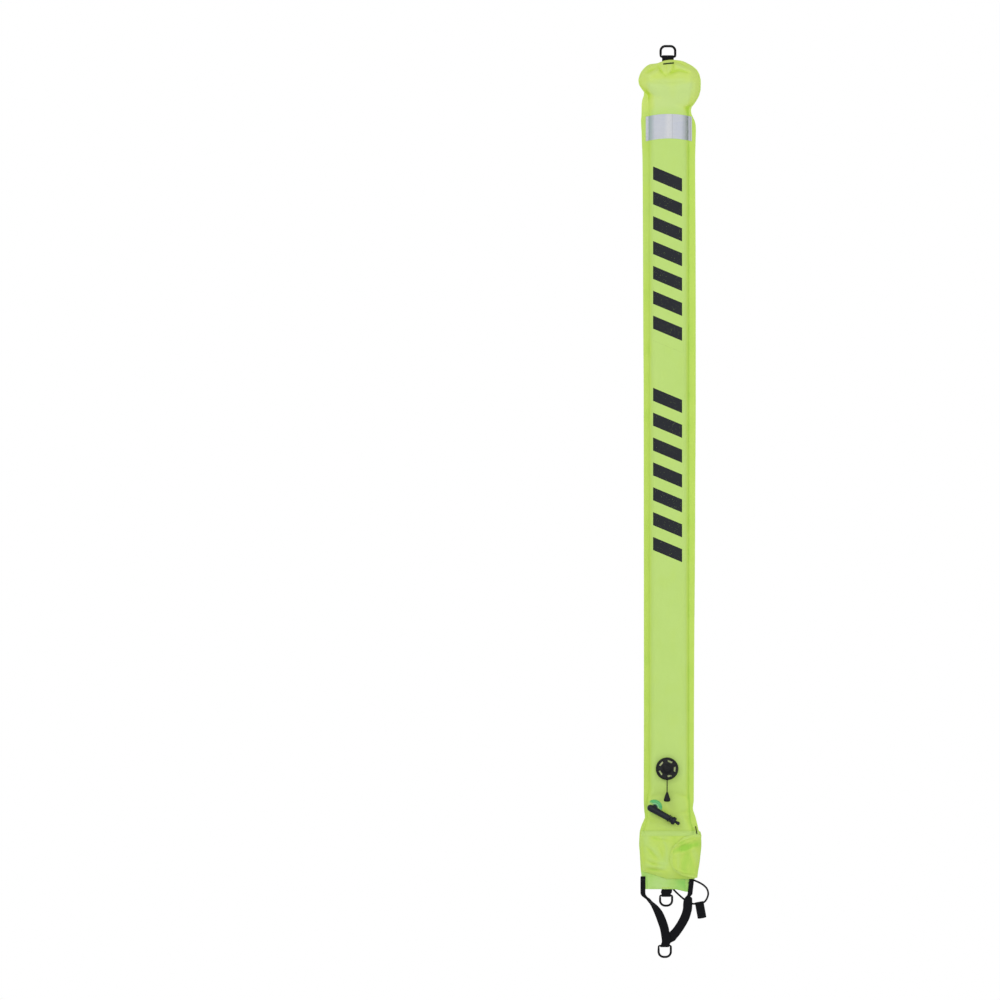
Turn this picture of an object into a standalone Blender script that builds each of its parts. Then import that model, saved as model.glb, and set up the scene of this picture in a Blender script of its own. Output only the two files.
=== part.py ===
"""Surface marker buoy for divers, hanging by its top ring.

X is the width (right +), Z is up, the front faces -Y, and the weld plane is y = 0.
The origin is the inner bearing point of the top ring. Driving sizes are in millimetres.
"""

import math

import bmesh
import bpy
from mathutils import Matrix, Vector

MM = 0.001
CLEAR = 0.3          # gap left between touching solids
TURN_STEPS = 20      # sides of a turned piece

# Fabric and webbing
FABRIC = 0.8
WEBBING = 1.3
WEBBING_WIDTH = 25.4
LOOP_NECK = 1.9      # where folded webbing closes up, in radii of its fold
PATCH = 0.8
WELD_GAP = CLEAR / 2

# Rings: wire radius, inner width, inner height
RING_WIRE = 2.2

# The even stretch of the tube. The tail's heights are measured from its foot
TUBE_TOP, TUBE_LENGTH = -140.0, 1488.0
FOOT = TUBE_TOP - TUBE_LENGTH

# Outline of the tube and tail, (height, x) from top to bottom
TOP_Z = -34.0
TOP_RISE, TOP_RISE_REACH = 7.0, 40.0
TAIL_Z = FOOT - 223
TAIL_DROP = 6.0
SLANT_FROM, SLANT_TO = 9.0, 45.0
LEFT_EDGE = [
    (-34, -36.5), (-42, -50), (-49, -57.5), (-58, -63), (-72, -65.6), (-84, -62), (-94, -55),
    (-102, -51), (-118, -57), (-140, -59), (-210, -57.5), (-400, -54.5), (FOOT - 22, -54),
    (FOOT - 48, -53.5), (FOOT - 67, -57), (FOOT - 94, -62.5), (FOOT - 117, -64), (FOOT - 172, -61),
    (FOOT - 194, -59), (FOOT - 200, -58), (FOOT - 223, -58),
]
RIGHT_EDGE = [
    (-34, 42), (-42, 55), (-49, 61), (-58, 66), (-72, 70.5), (-84, 71), (-94, 68.5), (-102, 65),
    (-118, 55), (-134, 49.5), (-150, 52), (-182, 58.5), (-210, 57.5), (FOOT + 128, 55),
    (FOOT - 32, 52.5), (FOOT - 52, 54), (FOOT - 72, 58.5), (FOOT - 94, 62.5), (FOOT - 100, 69),
    (FOOT - 125, 71), (FOOT - 172, 66), (FOOT - 200, 60), (FOOT - 201, 51), (FOOT - 223, 48.5),
]
LEFT_SEAM = [
    (-34, -31), (-42, -43), (-49, -50.5), (-58, -56.5), (-72, -59.5), (-84, -56), (-94, -49.5),
    (-102, -46), (-118, -43.5), (-140, -43), (FOOT - 2, -43), (FOOT - 26, -50), (FOOT - 62, -50),
    (FOOT - 94, -54), (FOOT - 223, -54),
]
RIGHT_SEAM = [
    (-34, 36), (-42, 48.5), (-49, 54.5), (-58, 60), (-72, 64.5), (-84, 65), (-94, 62.5), (-102, 58.5),
    (-118, 49.5), (-134, 45), (-140, 44.4), (FOOT - 2, 44.4), (FOOT - 32, 46), (FOOT - 72, 47),
    (FOOT - 94, 54), (FOOT - 201, 46), (FOOT - 223, 41),
]
# Half thickness of the puffed tube, and the width of its rounded shoulder
BODY_PUFF = 11.5
WAIST_PUFF = 6.0
HEAD_PUFF = 26.0
PUFF = [
    (-34, 1.9), (-38, 6), (-43, 12), (-50, 18.5), (-60, 24), (-74, HEAD_PUFF), (-90, 24), (-104, 19),
    (-120, 14.5), (-140, BODY_PUFF), (FOOT, BODY_PUFF), (FOOT - 24, WAIST_PUFF),
    (FOOT - 64, WAIST_PUFF), (FOOT - 80, 3), (FOOT - 90, 0), (FOOT - 223, 0),
]
SHOULDER = [
    (-34, 5), (-50, 16), (-74, 24), (-104, 18), (-140, 10), (FOOT, 10), (FOOT - 24, 4.5),
    (FOOT - 223, 4.5),
]
CROWN = [(-34, 0), (-50, 0.12), (-80, 0.16), (-120, 0.06), (-140, 0), (FOOT - 223, 0)]
SHOULDER_MID = 0.4   # where the middle of the shoulder lies, and how far out it is
SHOULDER_MID_DEPTH = 0.68
VALLEY = [(-34, 0.0), (-44, 0.35), (-60, 0.30), (-90, 0.10), (-120, 0), (FOOT - 223, 0)]
VALLEY_WIDTH = 12.0
ROWS = [
    -34, -38, -43, -50, -60, -74, -90, -104, -120, -140, -210, -400, FOOT + 88, FOOT, FOOT - 24,
    FOOT - 64, FOOT - 80, FOOT - 90, FOOT - 94, FOOT - 100, FOOT - 125, FOOT - 172, FOOT - 194,
    FOOT - 201, FOOT - 212, FOOT - 223,
]
HEAD_BOTTOM = -74.0  # the curved top edge has faded out here
TAIL_TOP = FOOT - 201   # the slanted bottom edge starts to fade in here

# Reflective band
BAND_LEFT, BAND_RIGHT = -50.0, 51.5
BAND_TOP, BAND_HEIGHT, BAND_BOW = -145.4, 53.9, 6.3
BAND_THICK = 0.4

# Top ring and its webbing
TOP_EYE_WIDTH, TOP_EYE_HEIGHT, TOP_RING_ROUND = 27.0, 17.8, 10.5
TOP_BAR_Z = -(TOP_EYE_HEIGHT + RING_WIRE)
TOP_LOOP_X = -1.3
TOP_LOOP_END = -47.0

# Over-pressure valve, heights measured outwards from the fabric
VALVE_X, VALVE_Z = -3.1, FOOT + 42
VALVE_RADIUS = 25.0
VALVE_BORE = 9.5
VALVE_FLANGE = 1.2
VALVE_FLANGE_RADIUS = VALVE_RADIUS - 0.4
VALVE_NECK = VALVE_BORE + 1.6
VALVE_NECK_DEPTH = 6.0
SEAT_PLATE, SEAT_RADIUS, SEAT_SPIGOT = 2.0, 13.0, 5.0
LIP_HEIGHT, LIP_RADIUS, LIP_BORE = 2.6, 7.0, 5.8
VALVE_LIFT = 2.5
DISC_THICK = 1.2
POPPET_RADIUS, POPPET_THICK = 8.0, 1.0
STEM_RADIUS, STEM_TAIL = 1.5, 1.5
CAP_HEIGHT = 14.5
CAP_WALL = 1.6
GUIDE_TUBE = 3.9     # how far the cap's inner guide tube reaches over the stem
SLOTS = 5
SLOT_TURN = -4.0
SLOT_RADIUS = 16.6
SLOT_LENGTH, SLOT_WIDTH, SLOT_FLAT = 11.0, 4.6, 20.5
SPRING_WIRE = 0.35
VALVE_COIL, VALVE_CURLS = 4.2, 4
CORD_X = -3.4
CORD_HEIGHT = 8.0
CORD_RADIUS = 0.9
CORD_ABOVE_RIM, CORD_BELOW_RIM = 9.0, 26.7
CORD_BELOW_HOLE = 4.0
CORD_TOP = VALVE_Z - VALVE_RADIUS + CORD_ABOVE_RIM
CORD_BOTTOM = VALVE_Z - VALVE_RADIUS - CORD_BELOW_RIM
CORD_POINTS = 14
GUIDE_RADIUS, GUIDE_LENGTH, GUIDE_INSET = 2.1, 4.0, 2.6
KNOB_TOP_RADIUS, KNOB_RADIUS, KNOB_LENGTH = 2.0, 7.25, 21.1

# Inflator: places along the barrel are measured from its swivel end
FLANGE_X, FLANGE_Z = -31.0, FOOT - 43
FLANGE_RADIUS, FLANGE_THICK, FLANGE_BORE = 17.0, 1.2, 3.0
BARREL_X, BARREL_Z = -31.5, FOOT - 48.8
BARREL_SLOPE = 29.05
BARREL_RADIUS, BARREL_BORE = 7.3, 4.2
BARREL_BACK, BARREL_FRONT = -16.6, 38.6
BARREL_HEIGHT = 9.6
BORE_END = -6.0
STEM_FOOT, STEM_TOP, STEM_BORE = 5.6, 5.0, 2.4
CHECK_FROM, CHECK_TO, CHECK_BORE = 25.0, 27.5, 1.6
PISTON_FROM, PISTON_LENGTH = 38.6, 5.4
GROOVE_FROM, GROOVE_TO, GROOVE_DEPTH = 2.0, 4.2, 1.5
O_RING_WIRE = 0.6
COLLAR_END, COLLAR_ROOF = 50.5, 4.0
NIPPLE_END = 63.9
NECK_RADIUS, TIP_RADIUS = 2.2, 3.1
PUSH_COIL, PUSH_CURLS = 2.9, 5

# Pouch
POUCH_TOP, POUCH_BOTTOM = FOOT - 95, FOOT - 200
POUCH_INSET = 1.7
POUCH_DEPTH = 9.0
POUCH_PUFF = [
    (FOOT - 95, 0.85), (FOOT - 112, 1.0), (FOOT - 182, 1.0), (FOOT - 194, 0.5), (FOOT - 200, 0.0),
]
POUCH_ROWS = [FOOT - 95, FOOT - 101, FOOT - 112, FOOT - 147, FOOT - 182, FOOT - 194, FOOT - 200]
POUCH_CORNER_X, POUCH_CORNER_RISE = -4.0, 18.0
POUCH_SIDE = [0.0, 0.035, 0.08, 0.13, 0.34, 0.66, 0.87, 0.92, 0.965, 1.0]
POUCH_SHAPE = [0.0, 0.45, 0.80, 1.0, 1.0, 1.0, 1.0, 0.80, 0.45, 0.0]
HEM_HEIGHT = 12.0
BINDING, BINDING_THICK, BINDING_END = 5.5, 0.5, 60.0
SIDE_TAB = (58.2, 61.0, FOOT - 92.5, FOOT - 81.5)

# Flap over the pouch, hinged at its right edge
FLAP_LIFT = 2 * (CLEAR + PATCH)
FLAP_TOP = [(3.5, FOOT - 134), (20, FOOT - 121), (35, FOOT - 109), (65, FOOT - 103), (72, FOOT - 103)]
FLAP_FOOT = [(3.5, FOOT - 176), (20, FOOT - 187), (35, FOOT - 194), (60, FOOT - 198), (72, FOOT - 198)]
HINGE_TOP, HINGE_FOOT = (72.0, FOOT - 103), (62.8, FOOT - 198)
HINGE_DEPTH = WELD_GAP + FABRIC + CLEAR + FABRIC + CLEAR + FABRIC / 2
FLAP_FREE = 3.5
FLAP_ROUND = 9.0
PATCH_LEFT, PATCH_RIGHT = 25.0, 47.0
PATCH_TOP, PATCH_FOOT = FOOT - 124, FOOT - 180

# Tail band, tail ring and bridle
TAIL_BAND_GAP = 1.0
TAIL_BAND_PLACES = [-46.0, -30.0, -15.0, 9.0, 22.0, 36.0]
TACK_HIGH, TACK_THICK = 2.2, 0.5
TAIL_TACK_WIDTH, TAIL_TACK_FOOT = 18.0, FOOT - 221
ANCHOR_TACK_WIDTH, ANCHOR_TACK_DROP, ANCHOR_TACK_INSET = 6.4, 9.0, 4.2
TAIL_RING_X, TAIL_BAR_Z = -5.0, FOOT - 236.5
SMALL_EYE_WIDTH, TAIL_EYE_HEIGHT, BRIDLE_EYE_HEIGHT = 23.4, 18.2, 20.5
SMALL_RING_ROUND = 11.5
SMALL_WIRE = 1.95
TAIL_LOOP_WIDTH, TAIL_LOOP_TOP = 21.5, FOOT - 209
BRIDLE_WIDTH = 20.0
ANCHOR_REACH = 8.4
BRIDLE_AXIS_Z = FOOT - 233
BRIDLE_RING_X, BRIDLE_BAR_Z, BRIDLE_LOOP_LENGTH = -8.3, FOOT - 347.2, 12.0
ANCHOR_FOOT = FOOT - 232.2
ANCHOR_TOP_LEFT, ANCHOR_TOP_RIGHT = FOOT - 194.6, FOOT - 201.3
LEFT_LEG = [
    # middle (x, y, z), then the vector to the right-hand edge
    (-55.0, 0.0, FOOT - 233.15, 5.0, 0.0, 0.0),
    (-51.5, -0.3, FOOT - 239.5, 4.4, 1.8, 2.0),
    (-45.0, -0.8, FOOT - 246, 3.4, 5.2, 3.0),
    (-38.4, -1.0, FOOT - 252.5, 2.6, 8.4, 2.6),
    (-29.5, -1.0, FOOT - 263, 5.6, 7.4, 3.4),
    (-21.5, -1.0, FOOT - 276, 8.2, 4.6, 3.3),
    (-15.5, -1.3, FOOT - 292, 9.4, 1.5, 2.9),
    (-11.0, -1.6, FOOT - 310, 9.7, 0.0, 2.2),
    (-8.6, -1.4, FOOT - 328, 9.9, 0.0, 0.8),
]
RIGHT_LEG = [
    (-7.8, 1.4, FOOT - 332, 9.4, 0.0, -3.0),
    (4.6, 1.9, FOOT - 327, 7.6, 0.0, -6.4),
    (16.5, 1.9, FOOT - 316.5, 7.6, 0.0, -6.4),
    (28.0, 1.6, FOOT - 299.5, 8.3, 0.0, -5.5),
    (36.8, 1.3, FOOT - 282, 9.3, 0.0, -3.6),
    (41.6, 1.0, FOOT - 268, 9.9, 0.0, -1.2),
    (43.0, 0.7, FOOT - 256, 10.0, 0.0, 0.3),
    (43.6, 0.4, FOOT - 246, 9.4, 0.0, 0.8),
    (47.0, 0.2, FOOT - 238, 6.6, 0.0, 0.8),
    (49.0, 0.0, FOOT - 233.15, 4.9, 0.0, 0.0),
]

# Shock cord: its route is chosen by hand
BUNGEE_RADIUS = 1.9
BUNGEE_ROUTE = [
    (9.2, 3.4, FOOT - 207), (9.2, 3.4, FOOT - 213), (10.2, 3.4, FOOT - 219), (14, 3.7, FOOT - 225.5),
    (22.5, 4.4, FOOT - 234.3), (33, 5.4, FOOT - 244), (41, 6.1, FOOT - 250.4), (48.5, 6.2, FOOT - 255),
    (56, 5.8, FOOT - 256.5), (62, 5.75, FOOT - 255.3), (68, 5.75, FOOT - 254.2),
    (74, 5.75, FOOT - 253.1), (80, 5.6, FOOT - 250.6), (85.4, 5.0, FOOT - 242.8),
    (88.2, 4.6, FOOT - 232.5), (85.4, 4.7, FOOT - 221.3), (77.4, 5.1, FOOT - 212.8),
    (67.3, 5.6, FOOT - 207), (57, 5.8, FOOT - 203), (48, 5.2, FOOT - 198.6), (40, 3.9, FOOT - 194),
    (34, 3.4, FOOT - 190.4), (28.5, 3.4, FOOT - 187),
]
BUNGEE_POINTS = 50
CORD_BLOCK, CORD_BLOCK_WIDTH, CORD_BLOCK_ROUND = 9.0, 8.0, 0.8
TAB_SLACK = 0.5
TAB_WIDTH, TAB_LENGTH, TAB_PLY, TAB_GAP = 18.5, 33.5, 1.2, 0.2
TAB_X, TAB_Y, TAB_Z, TAB_LEAN = 68.0, 5.75, FOOT - 254.2, 10.4

LIME = (0.49, 0.70, 0.19)
BLACK = (0.016, 0.016, 0.018)


def clear_scene():
    for old in list(bpy.data.objects):
        bpy.data.objects.remove(old, do_unlink=True)


def new_collection(name):
    made = bpy.data.collections.new(name)
    bpy.context.scene.collection.children.link(made)
    return made


def material(name, colour, roughness, metallic=0.0):
    made = bpy.data.materials.new(name)
    made.use_nodes = True
    shader = made.node_tree.nodes["Principled BSDF"]
    shader.inputs["Base Color"].default_value = (*colour, 1.0)
    shader.inputs["Roughness"].default_value = roughness
    shader.inputs["Metallic"].default_value = metallic
    return made


def add(name, mesh, finish, group):
    made = bpy.data.objects.new(name, mesh)
    group.objects.link(made)
    if finish:
        mesh.materials.append(finish)
    return made


def along(stations, at):
    """The value at a height or place, read straight between stations that run one way."""
    rising = stations[-1][0] > stations[0][0]
    ordered = stations if rising else stations[::-1]
    if at <= ordered[0][0]:
        return ordered[0][1]
    for (low, first), (high, second) in zip(ordered, ordered[1:]):
        if at <= high:
            return first + (second - first) * (at - low) / (high - low)
    return ordered[-1][1]


def grid_mesh(name, columns, rows, place):
    """A grid whose point in column i and row j lies at place(i, j), in millimetres."""
    grid = bmesh.new()
    bmesh.ops.create_grid(grid, x_segments=columns - 1, y_segments=rows - 1, size=1.0)
    for point in grid.verts:
        i = round((point.co.x + 1) / 2 * (columns - 1))
        j = round((point.co.y + 1) / 2 * (rows - 1))
        point.co = Vector(place(i, j)) * MM
    mesh = bpy.data.meshes.new(name)
    grid.to_mesh(mesh)
    grid.free()
    return mesh


def sheet(name, columns, rows, place, outward, lift, thickness, finish, group, keep=None):
    """A thin shell on a surface, lifted off it and thickened along its normals."""
    mesh = grid_mesh(name, columns, rows, place)
    work = bmesh.new()
    work.from_mesh(mesh)
    bmesh.ops.recalc_face_normals(work, faces=work.faces)
    work.normal_update()
    facing = sum((face.normal.dot(Vector(outward)) * face.calc_area() for face in work.faces))
    if facing < 0:
        bmesh.ops.reverse_faces(work, faces=work.faces)
        work.normal_update()
    normals = {point.index: point.normal.copy() for point in work.verts}
    for point in work.verts:
        point.co += normals[point.index] * lift * MM
    if keep:
        lost = [face for face in work.faces if not keep(face.calc_center_median() / MM)]
        bmesh.ops.delete(work, geom=lost, context="FACES")
    work.to_mesh(mesh)
    work.free()
    made = add(name, mesh, finish, group)
    solid = made.modifiers.new("thickness", "SOLIDIFY")
    solid.thickness = thickness * MM
    solid.offset = 1.0
    return made


def turned(name, profile, origin, direction, finish, group, ring=False, steps=TURN_STEPS):
    """A turned piece. The profile's (radius, height) points run down the outside and back up the bore."""
    mesh = bpy.data.meshes.new(name)
    points = [(radius * MM, 0, height * MM) for radius, height in profile]
    edges = [(i, i + 1) for i in range(len(points) - 1)]
    if ring:
        edges.append((len(points) - 1, 0))
    mesh.from_pydata(points, edges, [])
    made = add(name, mesh, finish, group)
    made.location = Vector(origin) * MM
    made.rotation_mode = "QUATERNION"
    made.rotation_quaternion = Vector(direction).to_track_quat("Z", "Y")
    screw = made.modifiers.new("turn", "SCREW")
    screw.steps = steps
    screw.render_steps = steps
    screw.use_merge_vertices = True
    screw.merge_threshold = 0.00001
    return made


def tube(name, points, radius, finish, group, closed=False, resolution=2, tilt=0.0):
    """A round wire or cord along points, in millimetres."""
    curve = bpy.data.curves.new(name, "CURVE")
    curve.dimensions = "3D"
    curve.bevel_depth = radius * MM
    curve.bevel_resolution = resolution
    curve.use_fill_caps = not closed
    spline = curve.splines.new("POLY")
    spline.points.add(len(points) - 1)
    for target, point in zip(spline.points, points):
        target.co = (*(Vector(point) * MM), 1.0)
        target.tilt = tilt
    spline.use_cyclic_u = closed
    made = bpy.data.objects.new(name, curve)
    group.objects.link(made)
    curve.materials.append(finish)
    return made


def strip(name, path, width_of, thickness, finish, group):
    """Flat webbing along a path. width_of(i) gives the vector from the middle to one edge."""
    def place(i, j):
        return Vector(path[j]) + width_of(j) * (2 * i - 1)

    mesh = grid_mesh(name, 2, len(path), place)
    made = add(name, mesh, finish, group)
    solid = made.modifiers.new("thickness", "SOLIDIFY")
    solid.thickness = thickness * MM
    solid.offset = 0.0
    return made


def box(name, low, high, finish, group, bevel=0.0):
    mesh = bpy.data.meshes.new(name)
    work = bmesh.new()
    bmesh.ops.create_cube(work, size=1.0)
    low, high = Vector(low), Vector(high)
    for point in work.verts:
        share = point.co + Vector((0.5, 0.5, 0.5))
        point.co = Vector([low[k] + (high[k] - low[k]) * share[k] for k in range(3)]) * MM
    work.to_mesh(mesh)
    work.free()
    made = add(name, mesh, finish, group)
    if bevel:
        edge = made.modifiers.new("edge", "BEVEL")
        edge.width = bevel * MM
        edge.segments = 1
    return made


def cut(target, cutter, operation="DIFFERENCE"):
    cutter.hide_render = True
    cutter.display_type = "WIRE"
    step = target.modifiers.new(cutter.name, "BOOLEAN")
    step.operation = operation
    step.object = cutter
    step.solver = "EXACT"


def pivot(name, place, members, group):
    """An empty on a joint's axis, carrying the pieces that move on it."""
    empty = bpy.data.objects.new(name, None)
    group.objects.link(empty)
    empty.location = Vector(place) * MM
    for member in members:
        member.parent = empty
        member.matrix_parent_inverse = Matrix.Translation(-empty.location)


def smooth_route(points, count):
    """Evenly spaced points on a smooth curve through the route."""
    ends = [2 * Vector(points[0]) - Vector(points[1]), 2 * Vector(points[-1]) - Vector(points[-2])]
    knots = [ends[0]] + [Vector(point) for point in points] + [ends[1]]
    fine = []
    for a, b, c, d in zip(knots, knots[1:], knots[2:], knots[3:]):
        for step in range(12):
            t = step / 12
            fine.append(0.5 * (2 * b + (c - a) * t + (2 * a - 5 * b + 4 * c - d) * t * t
                               + (3 * b - a - 3 * c + d) * t ** 3))
    fine.append(Vector(points[-1]))
    reach = [0.0]
    for first, second in zip(fine, fine[1:]):
        reach.append(reach[-1] + (second - first).length)
    even = []
    spot = 0
    for step in range(count):
        goal = reach[-1] * step / (count - 1)
        while spot < len(fine) - 2 and reach[spot + 1] < goal:
            spot += 1
        span = reach[spot + 1] - reach[spot]
        even.append(fine[spot].lerp(fine[spot + 1], (goal - reach[spot]) / span))
    return even


def tube_section(row):
    """Places across the tube at a height, as (x, share of the puff)."""
    left, right = along(LEFT_EDGE, row), along(RIGHT_EDGE, row)
    seam_left, seam_right = along(LEFT_SEAM, row), along(RIGHT_SEAM, row)
    shoulder, crown = along(SHOULDER, row), along(CROWN, row)
    low, high = seam_left + shoulder, seam_right - shoulder
    section = [(left, 0.0), (seam_left, 0.0)]
    section.append((seam_left + shoulder * SHOULDER_MID, SHOULDER_MID_DEPTH))
    for step in range(7):
        across = step / 3 - 1
        section.append(((low + high) / 2 + (high - low) / 2 * across, 1 - crown * across ** 2))
    section.append((seam_right - shoulder * SHOULDER_MID, SHOULDER_MID_DEPTH))
    return section + [(seam_right, 0.0), (right, 0.0)]


SECTION_COLUMNS = 13


def end_shift(x, row):
    """How the rounded top edge and the slanted bottom edge move a point up or down."""
    near_top = max(0.0, (row - HEAD_BOTTOM) / (TOP_Z - HEAD_BOTTOM))
    near_foot = max(0.0, (TAIL_TOP - row) / (TAIL_TOP - TAIL_Z))
    rise = TOP_RISE * (1 - min(1.0, abs(x / TOP_RISE_REACH)) ** 2) * near_top
    slant = max(0.0, min(1.0, (x - SLANT_FROM) / (SLANT_TO - SLANT_FROM)))
    return rise - TAIL_DROP * slant * near_foot


def tube_depth(x, share, row):
    valley = 1 - along(VALLEY, row) * math.exp(-((x - TOP_LOOP_X) / VALLEY_WIDTH) ** 2)
    depth = along(PUFF, row) * share * valley
    return depth + WELD_GAP


def panel_place(side):
    def place(i, j):
        row = ROWS[j]
        x, share = tube_section(row)[i]
        return x, side * tube_depth(x, share, row), row + end_shift(x, row)
    return place


def build_panels(finish, group, cutters):
    front = sheet("bladder_front_panel", SECTION_COLUMNS, len(ROWS), panel_place(-1), (0, -1, 0),
                  0, FABRIC, finish, group)
    sheet("bladder_back_panel", SECTION_COLUMNS, len(ROWS), panel_place(1), (0, 1, 0), 0, FABRIC, finish,
          group)
    for name, radius, place in (("valve_hole", VALVE_NECK + CLEAR, (VALVE_X, -BODY_PUFF, VALVE_Z)),
                                ("air_hole", FLANGE_BORE, (FLANGE_X, -WAIST_PUFF, FLANGE_Z))):
        hole = turned(name, [(0, 6), (radius, 6), (radius, -4), (0, -4)], place, (0, -1, 0), None, cutters)
        cut(front, hole)


def build_band(finish, group):
    """The reflective band, whose ends bow down, on the even part of the tube."""
    row = BAND_TOP - BAND_HEIGHT / 2
    section = tube_section(row)

    def place(i, j):
        x, share = section[i]
        if i == 0:
            x = BAND_LEFT
        if i == len(section) - 1:
            x = BAND_RIGHT
        bow = BAND_BOW * ((x - (BAND_LEFT + BAND_RIGHT) / 2) / ((BAND_RIGHT - BAND_LEFT) / 2)) ** 2
        return x, -tube_depth(x, share, row), BAND_TOP - bow - BAND_HEIGHT * j / 2

    sheet("reflective_band", SECTION_COLUMNS, 3, place, (0, -1, 0), FABRIC + CLEAR, BAND_THICK, finish,
          group)


def ring_points(width, height, wire, rounding, end):
    """A D shape in the XZ plane, for an eye of this width and height. The bar's centre is the origin.

    The far side, up when end is 1 and down when it is -1, is a straight run between two arcs.
    """
    half = width / 2 + wire
    reach = height + 2 * wire
    corner = wire * 1.2
    flat = half - rounding
    side = [(half - corner, 0), (half - corner * 0.3, corner * 0.3), (half, corner)]
    arc = 6
    for step in range(arc + 1):
        turn = math.pi / 2 * step / arc
        side.append((flat + rounding * math.cos(turn), reach - rounding + rounding * math.sin(turn)))
    points = side + [(-x, z) for x, z in reversed(side)]
    return [(x, 0, z * end) for x, z in points]


def build_ring(name, place, width, height, wire, rounding, end, finish, group):
    made = tube(name, ring_points(width, height, wire, rounding, end), wire, finish, group,
                closed=True, tilt=math.pi / 8)
    made.location = Vector(place) * MM
    return made


def loop_turns():
    """The angles of webbing folded round a bar."""
    return [math.radians(-50 + 280 * step / 8) for step in range(9)]


def loop_path(x, y, bar_z, wire, tail_z, end):
    """Webbing folded round a ring's bar, both ends running to tail_z."""
    radius = wire + CLEAR + WEBBING / 2
    near = WEBBING / 2 + CLEAR
    neck = bar_z - end * radius * LOOP_NECK
    path = [(x, y - near, tail_z), (x, y - near, neck)]
    for turn in loop_turns():
        path.append((x, y - radius * math.cos(turn), bar_z + end * radius * math.sin(turn)))
    return path + [(x, y + near, neck), (x, y + near, tail_z)]


def build_top(webbing, metal, group):
    build_ring("top_d_ring", (TOP_LOOP_X, 0, TOP_BAR_Z), TOP_EYE_WIDTH, TOP_EYE_HEIGHT, RING_WIRE,
               TOP_RING_ROUND, 1, metal, group)
    path = loop_path(TOP_LOOP_X, 0, TOP_BAR_Z, RING_WIRE, TOP_LOOP_END, 1)
    half = Vector((WEBBING_WIDTH / 2, 0, 0))
    strip("top_webbing_loop", path, lambda j: half, WEBBING, webbing, group)


def build_valve(plastic, rubber, steel, fabric, cord, group, cutters):
    """The over-pressure valve, stacked outwards from the fabric along -Y."""
    base = BODY_PUFF + WELD_GAP + FABRIC
    foot, out = (VALVE_X, -base, VALVE_Z), (0, -1, 0)
    low, high = CLEAR, CLEAR + VALVE_FLANGE
    turned("opv_weld_flange", [
        (VALVE_FLANGE_RADIUS - 0.6, high), (VALVE_FLANGE_RADIUS, low), (VALVE_NECK, low),
        (VALVE_NECK, low - VALVE_NECK_DEPTH), (VALVE_BORE, low - VALVE_NECK_DEPTH), (VALVE_BORE, high),
    ], foot, out, fabric, group, ring=True)
    seat = high + CLEAR
    plate, spigot = seat + SEAT_PLATE, VALVE_BORE - CLEAR
    turned("opv_valve_seat", [
        (LIP_RADIUS, seat + LIP_HEIGHT), (LIP_RADIUS, plate), (SEAT_RADIUS - 0.5, plate),
        (SEAT_RADIUS, plate - 0.5), (SEAT_RADIUS, seat), (spigot, seat), (spigot, seat - SEAT_SPIGOT),
        (LIP_BORE, seat - SEAT_SPIGOT), (LIP_BORE, seat + LIP_HEIGHT),
    ], foot, out, plastic, group, ring=True)
    build_cap(seat, foot, out, plastic, group, cutters)
    build_poppet(seat, foot, out, plastic, rubber, steel, group)
    build_pull(base, plastic, cord, group)


def build_poppet(seat, foot, out, plastic, rubber, steel, group):
    """The sealing disc, the poppet that carries it, and the spring above them."""
    disc = seat + LIP_HEIGHT + CLEAR
    plate = disc + DISC_THICK + CLEAR
    plate_top = plate + POPPET_THICK
    roof = seat + CAP_HEIGHT - CAP_WALL
    stem_top = roof - VALVE_LIFT - 2 * CLEAR
    bore = STEM_RADIUS + CLEAR
    seal = turned("opv_seal_disc", [
        (POPPET_RADIUS, disc + DISC_THICK), (POPPET_RADIUS, disc), (bore, disc), (bore, disc + DISC_THICK),
    ], foot, out, rubber, group, ring=True)
    poppet = turned("opv_poppet", [
        (0, stem_top), (STEM_RADIUS - 0.3, stem_top), (STEM_RADIUS, stem_top - 0.3),
        (STEM_RADIUS, plate_top), (POPPET_RADIUS, plate_top), (POPPET_RADIUS, plate), (STEM_RADIUS, plate),
        (STEM_RADIUS, disc - STEM_TAIL), (0, disc - STEM_TAIL),
    ], foot, out, plastic, group)
    curl = coil(VALVE_COIL, plate_top + CLEAR + SPRING_WIRE, roof - 1.6 - SPRING_WIRE, VALVE_CURLS)
    spring = tube("opv_spring", [Vector(foot) + Vector((x, -h, z)) for x, z, h in curl], SPRING_WIRE, steel,
                  group, resolution=1)
    pivot("poppet_axis", foot, [seal, poppet, spring], group)


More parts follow.
